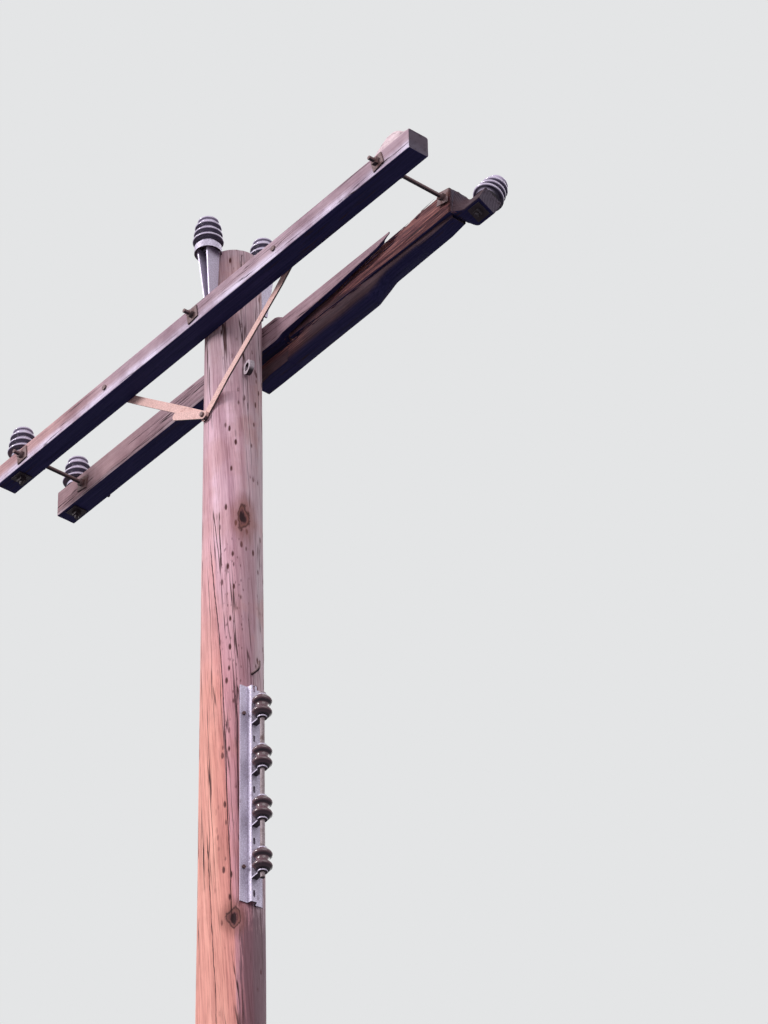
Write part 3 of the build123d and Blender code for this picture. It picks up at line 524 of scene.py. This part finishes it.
def settle(name, mesh, crisp=False):
    """A bmesh made an object with smooth shading, its sharp corners kept if crisp."""
    data = bpy.data.meshes.new(name)
    mesh.to_mesh(data)
    mesh.free()
    data.shade_smooth()
    if crisp:
        data.set_sharp_from_angle(angle=math.radians(38))
    return bpy.data.objects.new(name, data)


def fit(piece, material, body="pole_frame", nodes=()):
    """Links a finished piece, gives it its material in a new slot and its body, and hides the
    CAD nodes that it stands in for.
    """
    bpy.context.scene.collection.objects.link(piece)
    piece.data.materials.append(material)
    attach(piece, body)
    if nodes:
        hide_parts(*nodes)


fit(build_pole(), pole_material(), nodes=["pole"])


# Near crossarm: a sawn fir timber, 3.5 inches square and 8 feet long, its corners eased.
# It weathered to a pinkish grey; its underside is painted almost black as shade, and the
# lower front edge is lighter.
arm_end = 1219
near_front, near_back = -186.25, -97.25


def section_at(stations, x):
    """The y0, y1, z0 and z1 of a stick at a place between its stations."""
    for a, b in zip(stations, stations[1:]):
        if a[0] <= x <= b[0]:
            t = (x - a[0]) / (b[0] - a[0])
            return [p + (q - p) * t for p, q in zip(a[1:], b[1:])]


def eased(y, z, half_y, half_z, corner):
    """Pulls a point near a stick's corner in to a round corner."""
    round_by = min(corner, half_y * 0.8, half_z * 0.8)
    over_y, over_z = abs(y) - (half_y - round_by), abs(z) - (half_z - round_by)
    if over_y > 0 and over_z > 0:
        pull = round_by / math.hypot(over_y, over_z)
        if pull < 1:
            y = math.copysign(half_y - round_by + over_y * pull, y)
            z = math.copysign(half_z - round_by + over_z * pull, z)
    return y, z


def torn_share(torn, along, u, v):
    """How much of a broken face shows at a point, from 0 to 1."""
    faces = {
        "front": (-u, 0.9), "back": (u, 0.9), "top": (v, 0.9), "bottom": (-v, 0.9),
        "start": (-along, 0.999), "end": (along, 0.999),
    }
    return max([0] + [between(faces[face][0], faces[face][1], 1) for face in torn])


def timber(stations, torn, seed, cuts=320, corner=4, tear=0.006):
    """A sawn stick along X. Each station is (x, y0, y1, z0, z1) in mm, and so is the
    corner's radius; torn names the broken faces, and tear is their depth in metres."""
    mesh = bmesh.new()
    bmesh.ops.create_cube(mesh, size=2)
    along = [e for e in mesh.edges if abs(e.verts[0].co.x - e.verts[1].co.x) > 1]
    bmesh.ops.subdivide_edges(mesh, edges=along, cuts=cuts, use_grid_fill=True)
    across = [e for e in mesh.edges if abs(e.verts[0].co.x - e.verts[1].co.x) < 1e-6]
    bmesh.ops.subdivide_edges(mesh, edges=across, cuts=10, use_grid_fill=True)
    torn_layer = mesh.verts.layers.float.new("torn")
    first, last = stations[0][0], stations[-1][0]
    warp = 0.0015
    random.seed(seed)
    shift = random.uniform(0, 90)
    for vert in mesh.verts:
        u = math.sin(vert.co.y * math.pi / 2)
        v = math.sin(vert.co.z * math.pi / 2)
        rough = torn_share(torn, vert.co.x, u, v)
        x = first + (last - first) * (vert.co.x + 1) / 2
        y0, y1, z0, z1 = section_at(stations, x)
        half_y, half_z = (y1 - y0) / 2, (z1 - z0) / 2
        y, z = eased(u * half_y, v * half_z, half_y, half_z, corner)
        middle_y, middle_z = (y0 + y1) / 2000, (z0 + z1) / 2000
        here = Vector((x / 1000, middle_y + y / 1000, middle_z + z / 1000))
        fibre = noise.noise(Vector((here.x * 3 + shift, here.y * 130, here.z * 130)))
        bow = noise.noise(Vector((here.x * 1.4 + shift, 0, 0)))
        inward = Vector((0, -u, -v)).normalized()
        here += inward * (0.0006 + 0.0006 * fibre + warp * (0.5 + 0.5 * bow) * 0.5)
        if rough:
            rag = noise.noise(Vector((here.x * 9 + shift, here.y * 75, here.z * 75)))
            deep = noise.noise(Vector((here.x * 3 + shift, here.y * 22, here.z * 22)))
            here += inward * tear * rough * (0.45 + 0.55 * rag + 0.4 * deep)
            if abs(vert.co.x) > 0.999 and ("start" in torn or "end" in torn):
                notch = tear * 3 * (0.5 + 0.5 * rag + 0.4 * deep)
                here.x -= math.copysign(notch, vert.co.x)
        vert.co = here
        vert[torn_layer] = rough
    return mesh


def timber_material(name, face, left_end, edge, edge_low, edge_high, crack_width, underside_shade=1.0):
    """Weathered sawn fir: its face, its left end, and a lighter band from edge_high down to
    edge_low."""
    material, tree, shader = new_material(name)
    place = object_place(tree)
    fibre = fibre_of(tree, place, (0.03, 1, 1), crack_width)
    across, _, height = axes_of(tree, place)
    blotch = cloudy(tree, place, 6, 5, 0.62)
    left = sums(tree, "MULTIPLY", span(tree, across, -0.35, -0.95), 0.85)
    colour = mixed(tree, left, face, left_end)
    # A lighter band along the lower front edge
    band = span(tree, height, edge_high, edge_low)
    band = product(tree, band, span(tree, blotch, 0.35, 0.6, 0.55, 1.0))
    colour = mixed(tree, band, colour, edge)
    cloud = ramp(tree, blotch, [(0.32, "b09ca6"), (0.6, "ffffff")])
    colour = mixed(tree, 0.65, colour, cloud, "MULTIPLY")
    shade = ramp(tree, (fibre, "Streaks"), [(0.0, "b4a6ae"), (0.5, "f0f0f0"), (1.0, "ffffff")])
    colour = mixed(tree, 0.55, colour, shade, "MULTIPLY")

    # The sawn ends show dirty growth rings, darkened further as painted shade
    face_x, _, face_z = facing(tree)
    rings = end_rings(tree, mapped(tree, place, Location=(0, 0.21, -11.27)), "X", 42, 2.5)
    rings = ramp(tree, rings, [(0.1, "302a36"), (0.9, "584e5c")])
    sawn = span(tree, sums(tree, "ABSOLUTE", face_x, 0), 0.75, 0.95, 0.0, 0.92)
    colour = mixed(tree, sawn, colour, rings)

    # Torn fibres are red-brown
    inner = ramp(tree, (fibre, "Streaks"), [(0.1, "3c2028"), (0.5, "643a3e"), (0.9, "92605a")])
    colour = mixed(tree, attribute(tree, "torn"), colour, inner)

    # The underside is painted almost black as shade
    under = span(tree, face_z, -0.35, -0.8, 0.0, underside_shade)
    underside_shade_colour = ramp(tree, (fibre, "Streaks"), [(0.1, "181842"), (0.9, "2c2854")])
    colour = mixed(tree, under, colour, underside_shade_colour)
    colour = mixed(tree, (fibre, "Cracks"), colour, "33222a")
    feed(tree, shader, "Base Color", colour)
    wood_surface(tree, shader, fibre, 0.74, 0.93)
    relief(tree, shader, (fibre, "Relief"), 0.7, 0.0025)
    return material


near_wood = timber_material("Near arm wood", "b89ca8", "cba0a0", "e6d8ee", 11.346, 11.384, 0.02)
near_arm = timber(
    [(x, near_front, near_back, 11333.5, 11422.5) for x in (-arm_end, arm_end)],
    (), seed=3, corner=7,
)
fit(settle("near_arm_timber", near_arm), near_wood, nodes=["near_crossarm"])


# Peel on the near arm: a strip of its top corner that the weather lifted at the right
# end. It is still fast at its root and bulges up over the arm's end.
def build_peel():
    mesh = bmesh.new()
    bmesh.ops.create_cube(mesh, size=1)
    along = [e for e in mesh.edges if abs(e.verts[0].co.x - e.verts[1].co.x) > 0.5]
    bmesh.ops.subdivide_edges(mesh, edges=along, cuts=36, use_grid_fill=True)
    torn_layer = mesh.verts.layers.float.new("torn")
    for vert in mesh.verts:
        t = vert.co.x + 0.5
        width = 0.034 * (1 - 0.55 * t)
        rag = noise.noise(Vector((t * 14, vert.co.y * 3, 1))) * 0.0025
        lift = 0.06 * math.sin(min(1, t * 1.1) * math.pi * 0.8)
        x = 1.03 + 0.168 * t - 0.02 * t * t
        y = -0.166 + vert.co.y * width + 0.012 * t + rag
        vert.co = Vector((x, y, 11.4145 + (0.5 + vert.co.z) * (lift + 0.004) + rag))
        vert[torn_layer] = 0.05 * t
    return settle("near_arm_peel", mesh)


# The peel is painted much paler than the arm, with no dark underside, as painted sky light on it
lit_peel_colour = "ead2d8"
peel_wood = timber_material(
    "Peel wood", lit_peel_colour, lit_peel_colour, lit_peel_colour, 11.3, 11.31, 0.012, underside_shade=0.0,
)
fit(build_peel(), peel_wood)


# Far crossarm: the same kind of timber, deeper, whole from its left end to the pole.
# Right of the pole it split along the grain, and only a tapering front sliver is left.
far_front, far_back = 97.25, 179.25
far_wood = timber_material("Far arm wood", "ab8e97", "ac8c90", "c6b0b8", 11.325, 11.345, 0.028)
far_arm = timber(
    [
        (-arm_end, far_front, far_back, 11321, 11435),
        (118, far_front, far_back, 11321, 11435),
        (140, far_front, 172, 11324, 11426),
        (152, far_front, 132, 11330, 11412),
        (162, far_front, 124.5, 11334, 11408),
        (420, far_front, 119, 11350, 11408),
        (700, far_front, 112, 11374, 11408),
        (771, far_front, 103, 11396, 11407),
    ],
    (), seed=8, cuts=340,
)
torn_layer = far_arm.verts.layers.float["torn"]
for vert in far_arm.verts:
    x, y, z = vert.co
    if x > 0.1:
        back = between(y, 0.101, 0.108) * between(x, 0.1, 0.14)
        vert[torn_layer] = back
        vert.co.y += 0.003 * back * noise.noise(Vector((x * 10, y * 80, z * 80)))
        vert.co.x += 0.02 * back * noise.noise(Vector((5, vert.co.y * 90, z * 90)))
fit(settle("far_arm_timber", far_arm), far_wood, nodes=["far_crossarm"])


# Split half: the rear half of the far arm, torn loose from the sliver but still held by
# the right bolt, with a strip hanging under it and its end block cracked and rolled back.
roll_angle = math.radians(-28)
# The split half, its strip and end block are painted dark brown-grey as shade under the sliver
split_wood = timber_material("Split arm wood", "5a464e", "5a464e", "625058", 11.2, 11.21, 0.03)
rear_half = timber(
    [
        (165, 126.25, 179.25, 11321, 11398),
        (600, 122, 184, 11309, 11404),
        (1030, 114, 192, 11299, 11411),
        (1085, 112.25, 194.25, 11298, 11413),
    ],
    ("front", "top", "start"), seed=21, cuts=200, tear=0.009,
)
torn_layer = rear_half.verts.layers.float["torn"]
# Toward the pole the torn colour fades out, and the face's dark painted shade shows
for vert in rear_half.verts:
    vert[torn_layer] *= 0.3 + 0.7 * between(vert.co.x, 0.33, 0.5)
fit(settle("split_rear_half", rear_half), split_wood, nodes=["split_crossarm"])

under_strip = timber(
    [
        (-40, 128, 196, 11218, 11301),
        (40, 126.25, 198, 11220, 11304),
        (600, 126.25, 198, 11228, 11327),
        (700, 126.25, 198, 11268, 11326),
        (1000, 126.25, 198, 11277, 11319),
        (1078, 129, 196, 11287, 11311),
    ],
    ("front", "top", "start", "end"), seed=34, cuts=190, tear=0.011,
)
torn_layer = under_strip.verts.layers.float["torn"]
# Only the strip's upper left keeps its full torn colour; the rest shows the dark painted shade
for vert in under_strip.verts:
    fresh = between(-vert.co.x, -0.32, -0.2) * between(vert.co.z, 11.27, 11.29)
    vert[torn_layer] *= 0.12 + 0.88 * fresh
fit(settle("split_under_strip", under_strip), split_wood)

end_block = timber(
    [(1076, -41, 41, -57, 57), (1119, -41, 41, -38, 38), (1201, -41, 41, -38, 38)],
    ("start",), seed=55, cuts=44, tear=0.008,
)
roll_back = Matrix.Translation((0, 0.19725, 11.31)) @ Matrix.Rotation(roll_angle, 4, "X")
for vert in end_block.verts:
    still = 1 - between(vert.co.x, 1.062, 1.124)
    straight = Vector((vert.co.x, 0.15325 + vert.co.y, 11.3555 + vert.co.z))
    vert.co = (roll_back @ vert.co).lerp(straight, still)
fit(settle("split_end_block", end_block), split_wood)


# Splinters: long fibres that stand out of the torn faces of the split arm, one to five
# inches long, none thicker than a pencil, each pointed at its free end.
def build_splinters():
    mesh = bmesh.new()
    random.seed(77)
    rows = [  # count, the ranges of x, y and z in mm, and how long they are
        (26, (150, 760), (112, 124), (11352, 11400), 0.9),
        (34, (210, 1040), (118, 132), (11385, 11408), 1.0),
        (30, (150, 640), (128, 140), (11300, 11330), 1.0),
        (16, (60, 170), (120, 168), (11330, 11400), 0.7),
        (14, (-36, 60), (134, 190), (11226, 11296), 0.5),
    ]
    for count, x_range, y_range, z_range, long in rows:
        for _ in range(count):
            start = [random.uniform(*r) / 1000 for r in (x_range, y_range, z_range)]
            length = long * random.uniform(0.035, 0.13)
            thick = random.uniform(0.0012, 0.0035)
            lean = [random.choice((-1, 1, 1)), random.uniform(-0.1, 0.06)]
            lean.append(random.uniform(-0.12, 0.1))
            turn = Vector(lean).to_track_quat("Z", "Y").to_matrix().to_4x4()
            flat = Matrix.Diagonal((1, random.uniform(0.4, 0.8), 1, 1))
            middle = Matrix.Translation((0, 0, length / 2))
            bmesh.ops.create_cone(
                mesh, cap_ends=True, segments=6, radius1=thick, radius2=thick * 0.08,
                depth=length, matrix=Matrix.Translation(start) @ turn @ flat @ middle,
            )
    torn_layer = mesh.verts.layers.float.new("torn")
    for vert in mesh.verts:
        vert[torn_layer] = 1
    return settle("split_splinters", mesh)


fit(build_splinters(), split_wood)


# Arm bolts: galvanised machine bolts gone brown, each with square washers let into the
# wood and square nuts. The two outer ones space the arms, the middle one clamps the pole.
def grime_group():
    """Uneven dirt and rust bloom: a mask and a fine speckle."""
    group, enter, leave = new_group(
        "Grime", [("Vector", "NodeSocketVector"), ("Amount", "NodeSocketFloat")],
        ("Bloom", "Speckle"),
    )
    place = enter, "Vector"
    cloud = cloudy(group, place, 28, 7, 0.66)
    dots = cloudy(group, place, 260, 3, 0.6)
    more = sums(group, "ADD", cloud, (enter, "Amount"))
    feed(group, leave, "Bloom", span(group, more, 0.5, 0.72))
    feed(group, leave, "Speckle", span(group, dots, 0.4, 0.65))
    return group


grime = grime_group()


def metal_material(name, clean, stain, amount, metallic, smooth, rough, shade_height=0):
    """Weathered steel: a clean colour that a stain covers by the grime group's mask, and
    painted shade, a dark colour, on what faces down or lies below the shade height."""
    material, tree, shader = new_material(name)
    place = object_place(tree)
    dirt = over(tree, "ShaderNodeGroup", place, {"node_tree": grime}, Amount=amount)
    dots = ramp(tree, (dirt, "Speckle"), [(0.0, "cfcacc"), (1.0, "ffffff")])
    colour = mixed(tree, (dirt, "Bloom"), clean, stain)
    colour = mixed(tree, 0.8, colour, dots, "MULTIPLY")
    # Painted shade on down-facing faces, and below the shade height when one is given
    under = span(tree, facing(tree)[2], -0.4, -0.85)
    if shade_height:
        height = axes_of(tree, place)[2]
        low = span(tree, height, shade_height + 0.004, shade_height - 0.004)
        under = sums(tree, "MAXIMUM", under, low)
    feed(tree, shader, "Base Color", mixed(tree, under, colour, "33282f"))
    metal = span(tree, (dirt, "Bloom"), 0, 1, metallic, metallic * 0.4)
    feed(tree, shader, "Metallic", metal)
    feed(tree, shader, "Roughness", span(tree, (dirt, "Bloom"), 0, 1, smooth, rough))
    relief(tree, shader, (dirt, "Speckle"), 0.5, 0.0006)
    return material


def moved(mesh, bevelled, verts, place):
    """Puts what a bevel made and what it left of the old vertices in place."""
    new = {v for face in bevelled["faces"] for v in face.verts}
    whole = new | {v for v in verts if v.is_valid}
    bmesh.ops.transform(mesh, matrix=place, verts=list(whole))


def block(mesh, size, place, bevel=0.0015):
    """A bevelled block of the given size in a mesh, put in place by a matrix."""
    made = bmesh.ops.create_cube(mesh, size=1, matrix=Matrix.Diagonal((*size, 1)))
    verts = made["verts"]
    edges = list({e for v in verts for e in v.link_edges})
    bevelled = bmesh.ops.bevel(
        mesh, geom=edges, offset=bevel, offset_type="OFFSET", segments=2, profile=0.5,
        affect="EDGES", material=-1, clamp_overlap=True,
    )
    moved(mesh, bevelled, verts, place)


def rod(mesh, radius, length, place):
    """A round bar along its own Z from the place's origin, its ends chamfered."""
    made = bmesh.ops.create_cone(
        mesh, cap_ends=True, segments=32, radius1=radius, radius2=radius, depth=length,
        matrix=Matrix.Translation((0, 0, length / 2)),
    )
    verts = made["verts"]
    rims = [e for e in {e for v in verts for e in v.link_edges}
            if abs(e.verts[0].co.z - e.verts[1].co.z) < 1e-6]
    bevelled = bmesh.ops.bevel(
        mesh, geom=rims, offset=radius * 0.16, offset_type="OFFSET", segments=1, profile=0.5,
        affect="EDGES", material=-1, clamp_overlap=True,
    )
    moved(mesh, bevelled, verts, place)


def arm_bolt(name, x, start, end, faces, node):
    """A through bolt along Y; faces are (y, side) of the timber faces that it clamps."""
    washer, nut = (0.057, 0.005, 0.057), (0.025, 0.014, 0.025)
    mesh = bmesh.new()
    along = Matrix.Rotation(math.radians(-90), 4, "X")
    rod(mesh, 0.008, end - start, Matrix.Translation((x, start, arm_height)) @ along)
    random.seed(name)
    for face, side in faces:
        for size, out, least, most, bevel in (
            (washer, 0.0025, -0.25, 0.25, 0.0015), (nut, 0.012, 0, 1.5, 0.0018),
        ):
            skew = Matrix.Rotation(random.uniform(least, most), 4, "Y")
            middle = Matrix.Translation((x, face + side * out, arm_height))
            block(mesh, size, middle @ skew, bevel)
    fit(settle(name, mesh, crisp=True), rusty_steel, nodes=[node])


rusty_steel = metal_material("Rusty steel", "7c6466", "6e4a46", 0.02, 0.35, 0.6, 0.88)
near_faces = [(near_front / 1000, -1), (near_back / 1000, 1)]
far_faces = [(far_front / 1000, -1), (far_back / 1000, 1)]
split_faces = [(0.11225, -1), (0.19425, 1)]
bolt_x, bolt_start, bolt_end = 1.053, -0.22825, 0.22125
arm_bolt("left_spacing_bolt", -bolt_x, bolt_start, bolt_end, near_faces + far_faces,
         "left_arm_bolt")
arm_bolt("right_spacing_bolt", bolt_x, bolt_start, bolt_end + 0.015, near_faces + split_faces,
         "right_arm_bolt")
arm_bolt("pole_through_bolt", 0.0, bolt_start, bolt_end, [near_faces[0], far_faces[1]],
         "centre_bolt")


# Braces: flat steel straps that prop the near arm from the pole, with the stub of an
# older one under them. Their zinc is gone and the rust has dried to a salmon orange.
def coat(material, *nodes):
    """Gives CAD nodes that stay in the scene a material."""
    for node in nodes:
        for slot in frame["nodes"][node].material_slots:
            slot.material = material


brace_steel = metal_material("Brace steel", "e2b8b2", "c08c82", -0.04, 0.15, 0.62, 0.85)
coat(brace_steel, "right_brace", "left_brace", "brace_stub")

# Small hardware: the lag screw and bolts of the braces, the drive hook, the rack's bolts
# and the screws of the pole-top brackets, all of plain steel rusted brown.
coat(rusty_steel, "brace_lag_screw", "brace_arm_bolts", "drive_hook", "rack_bolts",
     "top_bracket_screws")

# Stud of the tipped insulator: it stands in the rolled end block and is painted almost
# black as shade, for it sits in the shade under the block.
stud_shade_steel = metal_material("Dark steel", "2a222c", "382a2c", 0.02, 0.2, 0.7, 0.9)
coat(stud_shade_steel, "tipped_stud")


# Post insulators: grey glazed porcelain with three sheds and a tie groove round the
# head, each cemented on a galvanised foot. The sheds' undersides are painted dark as shade.
def porcelain_material(name, glaze, shade_colour, rim):
    material, tree, shader = new_material(name)
    settings = {"node_tree": grime}
    dirt = over(tree, "ShaderNodeGroup", object_place(tree), settings, Amount=-0.02)
    # Painted shade: down-facing faces take the dark shade colour
    under = span(tree, facing(tree)[2], -0.42, -0.8)
    veil = sums(tree, "MULTIPLY", (dirt, "Bloom"), 0.35)
    colour = mixed(tree, under, mixed(tree, veil, glaze, rim), shade_colour)
    feed(tree, shader, "Base Color", colour)
    feed(tree, shader, "Roughness", span(tree, (dirt, "Bloom"), 0, 1, 0.16, 0.38))
    shader.inputs["Coat Weight"].default_value = 0.3
    relief(tree, shader, (dirt, "Speckle"), 0.12, 0.0004)
    return material


def turned_body(name, profile, place, steps=72):
    """A turned body: the profile of (radius, height) in mm is spun round its own Z."""
    mesh = bmesh.new()
    verts = [mesh.verts.new((r / 1000, 0, z / 1000)) for r, z in profile]
    edges = [mesh.edges.new(pair) for pair in zip(verts, verts[1:])]
    bmesh.ops.spin(
        mesh, geom=verts + edges, cent=(0, 0, 0), axis=(0, 0, 1), angle=2 * math.pi,
        steps=steps, use_merge=True,
    )
    bmesh.ops.remove_doubles(mesh, verts=mesh.verts, dist=1e-6)
    bmesh.ops.recalc_face_normals(mesh, faces=mesh.faces)
    bmesh.ops.transform(mesh, matrix=place, verts=mesh.verts)
    return settle(name, mesh)


insulator_foot = 14
insulator_profile = [
    (0.0, insulator_foot), (35, insulator_foot), (35, 21), (50, 21.6), (54.5, 22.6),
    (57.2, 25), (58, 28), (57.2, 31), (54, 34.2), (47, 36.4), (38, 39.4), (35, 42),
    (35, 53.4), (47, 53.8), (50.6, 54.8), (53.2, 57), (54, 60), (53.2, 63), (50, 66.2),
    (43, 68.6), (37, 71.4), (35, 74), (35, 85.2), (43, 85.6), (46.6, 86.8), (49.2, 89),
    (50, 92), (49.2, 95), (46, 98.2), (40, 100.8), (34, 103.6), (33, 106), (33, 112.6),
    (35, 116), (39, 118.6), (40, 121), (39.4, 123.8), (37, 126.6), (32, 129), (22, 130),
    (0.0, 130),
]
grey_glaze = porcelain_material("Grey porcelain", "c3b6ce", "322a40", "8f8090")
insulator_places = {}
for name in ("near_left", "far_left", "near_top", "far_top"):
    low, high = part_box(name + "_insulator")
    middle = (low + high) / 2
    foot = low.z - insulator_foot / 1000
    insulator_places[name] = Matrix.Translation((middle.x, middle.y, foot))
tipped_foot = Matrix.Translation((1.16, 0.21509, 11.343552))
insulator_places["tipped"] = tipped_foot @ Matrix.Rotation(roll_angle, 4, "X")
for name, place in insulator_places.items():
    body = turned_body(name + "_post_insulator", insulator_profile, place)
    fit(body, grey_glaze, nodes=[name + "_insulator"])


# Galvanised hardware: the insulators' feet and studs, the two pressed channels at the
# pole top and the rack. Hot-dip zinc that has gone dull and lilac grey.
zinc_look = ("d2c8de", "a090a2", -0.05, 0.3, 0.42, 0.7)
zinc = metal_material("Old zinc", *zinc_look)
coat(zinc, "near_top_stud", "far_top_stud", "near_top_bracket", "far_top_bracket",
     "rack_channel")
# The left studs are painted dark as shade where they hang below the arms
stud_zinc = metal_material("Stud zinc", *zinc_look, shade_height=11.34)
coat(stud_zinc, "near_left_stud", "far_left_stud")

# Rack rod: one round steel bar down through all the ears, which the spools turn on.
# They have rubbed its zinc off, and it has gone grey brown.
rod_steel = metal_material("Rod steel", "97878c", "6b5250", 0.04, 0.3, 0.5, 0.8)
coat(rod_steel, "rack_rod")

# Guy eye bolt: a forged eye on a bolt through the pole, under the arms. Its zinc is
# still there, dull and stained.
dull_zinc = metal_material("Dull zinc", "c2b4be", "8c7a80", 0.0, 0.25, 0.55, 0.8)
coat(dull_zinc, "guy_eye_bolt")


# Rack spools: brown glazed porcelain spools that turn on the rack's rod, one between
# each pair of ears, each with a rope groove round its waist.
spool_profile = [
    (8.2, -38), (23, -38), (25, -35.5), (31, -29), (34, -26), (35, -22), (34, -18),
    (29, -12.5), (24, -9), (22.3, -6), (22, 0), (22.3, 6), (24, 9), (29, 12.5), (34, 18),
    (35, 22), (34, 26), (31, 29), (25, 35.5), (23, 38), (8.2, 38), (8.2, -38),
]
brown_glaze = porcelain_material("Brown porcelain", "62464e", "241824", "a08a92")
for i in range(1, 5):
    spool = f"rack_spool_{i}"
    low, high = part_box(spool)
    middle = Matrix.Translation((low + high) / 2)
    body = turned_body(f"spool_glaze_{i}", spool_profile, middle, steps=56)
    fit(body, brown_glaze, frame["nodes"][spool]["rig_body"], [spool])


# Stage: a pale floor, soft light from the left front, the right and behind, and a pale
# backdrop that the camera and reflections see.
def stage_floor():
    mesh = bmesh.new()
    bmesh.ops.create_circle(mesh, cap_ends=True, segments=96, radius=70)
    bmesh.ops.translate(mesh, verts=mesh.verts, vec=(0, 0, -0.001))
    floor = settle("studio_floor", mesh)
    bpy.context.scene.collection.objects.link(floor)
    material, tree, shader = new_material("Pale floor")
    seen = put(tree, "ShaderNodeLightPath"), "Is Camera Ray"
    feed(tree, shader, "Base Color", mixed(tree, seen, "77757a", "dcdcda"))
    shader.inputs["Roughness"].default_value = 0.95
    floor.data.materials.append(material)


def stage_light():
    for name, towards, strength, spread in (
        ("key", (-0.34, -0.86, 0.42), 2.5, 22),
        ("fill", (0.9, -0.25, 0.3), 1.1, 50),
        ("back", (-0.2, 0.9, 0.6), 0.8, 50),
    ):
        lamp = bpy.data.lights.new(name, "SUN")
        lamp.energy = strength
        lamp.angle = math.radians(spread)
        holder = bpy.data.objects.new(name, lamp)
        holder.rotation_mode = "QUATERNION"
        holder.rotation_quaternion = Vector(towards).to_track_quat("Z", "Y")
        bpy.context.scene.collection.objects.link(holder)
    world = bpy.data.worlds.new("studio")
    bpy.context.scene.world = world
    world.use_nodes = True
    tree = world.node_tree
    way = put(tree, "ShaderNodeTexCoord"), "Generated"
    up = span(tree, axes_of(tree, way)[2], -0.35, 0.35)
    glow = mixed(tree, up, "545056", "d2d2d6")
    seen = put(tree, "ShaderNodeLightPath")
    pale = sums(tree, "MAXIMUM", (seen, "Is Camera Ray"), (seen, "Is Glossy Ray"))
    pale = sums(tree, "MAXIMUM", pale, (seen, "Is Transmission Ray"))
    feed(tree, tree.nodes["Background"], "Color", mixed(tree, pale, glow, "e4e5e6"))


stage_floor()
stage_light()


# Camera: a long lens at eye height, 12 m from the pole, that looks up at its top. The
# angles are in radians, and all of them were fitted to the arms, the rack and the pole.
bearing, pitch, roll = 0.8656, 0.6464, -0.0239
camera_place = (9.386, -7.289, 1.597)
ahead = Vector((
    -math.sin(bearing) * math.cos(pitch), math.cos(bearing) * math.cos(pitch), math.sin(pitch),
))
right = Vector((math.cos(bearing), math.sin(bearing), 0))
above = right.cross(ahead)
level = math.cos(roll) * right + math.sin(roll) * above
upright = math.cos(roll) * above - math.sin(roll) * right
camera = bpy.data.cameras.new("photo_camera")
camera.lens = 148.3
camera.sensor_width = 36
camera.clip_end = 300
viewer = bpy.data.objects.new("photo_camera", camera)
axes = Matrix((level, upright, -ahead)).transposed().to_4x4()
viewer.matrix_world = Matrix.Translation(camera_place) @ axes
bpy.context.scene.collection.objects.link(viewer)
bpy.context.scene.camera = viewer
bpy.context.scene.view_settings.view_transform = "Standard"
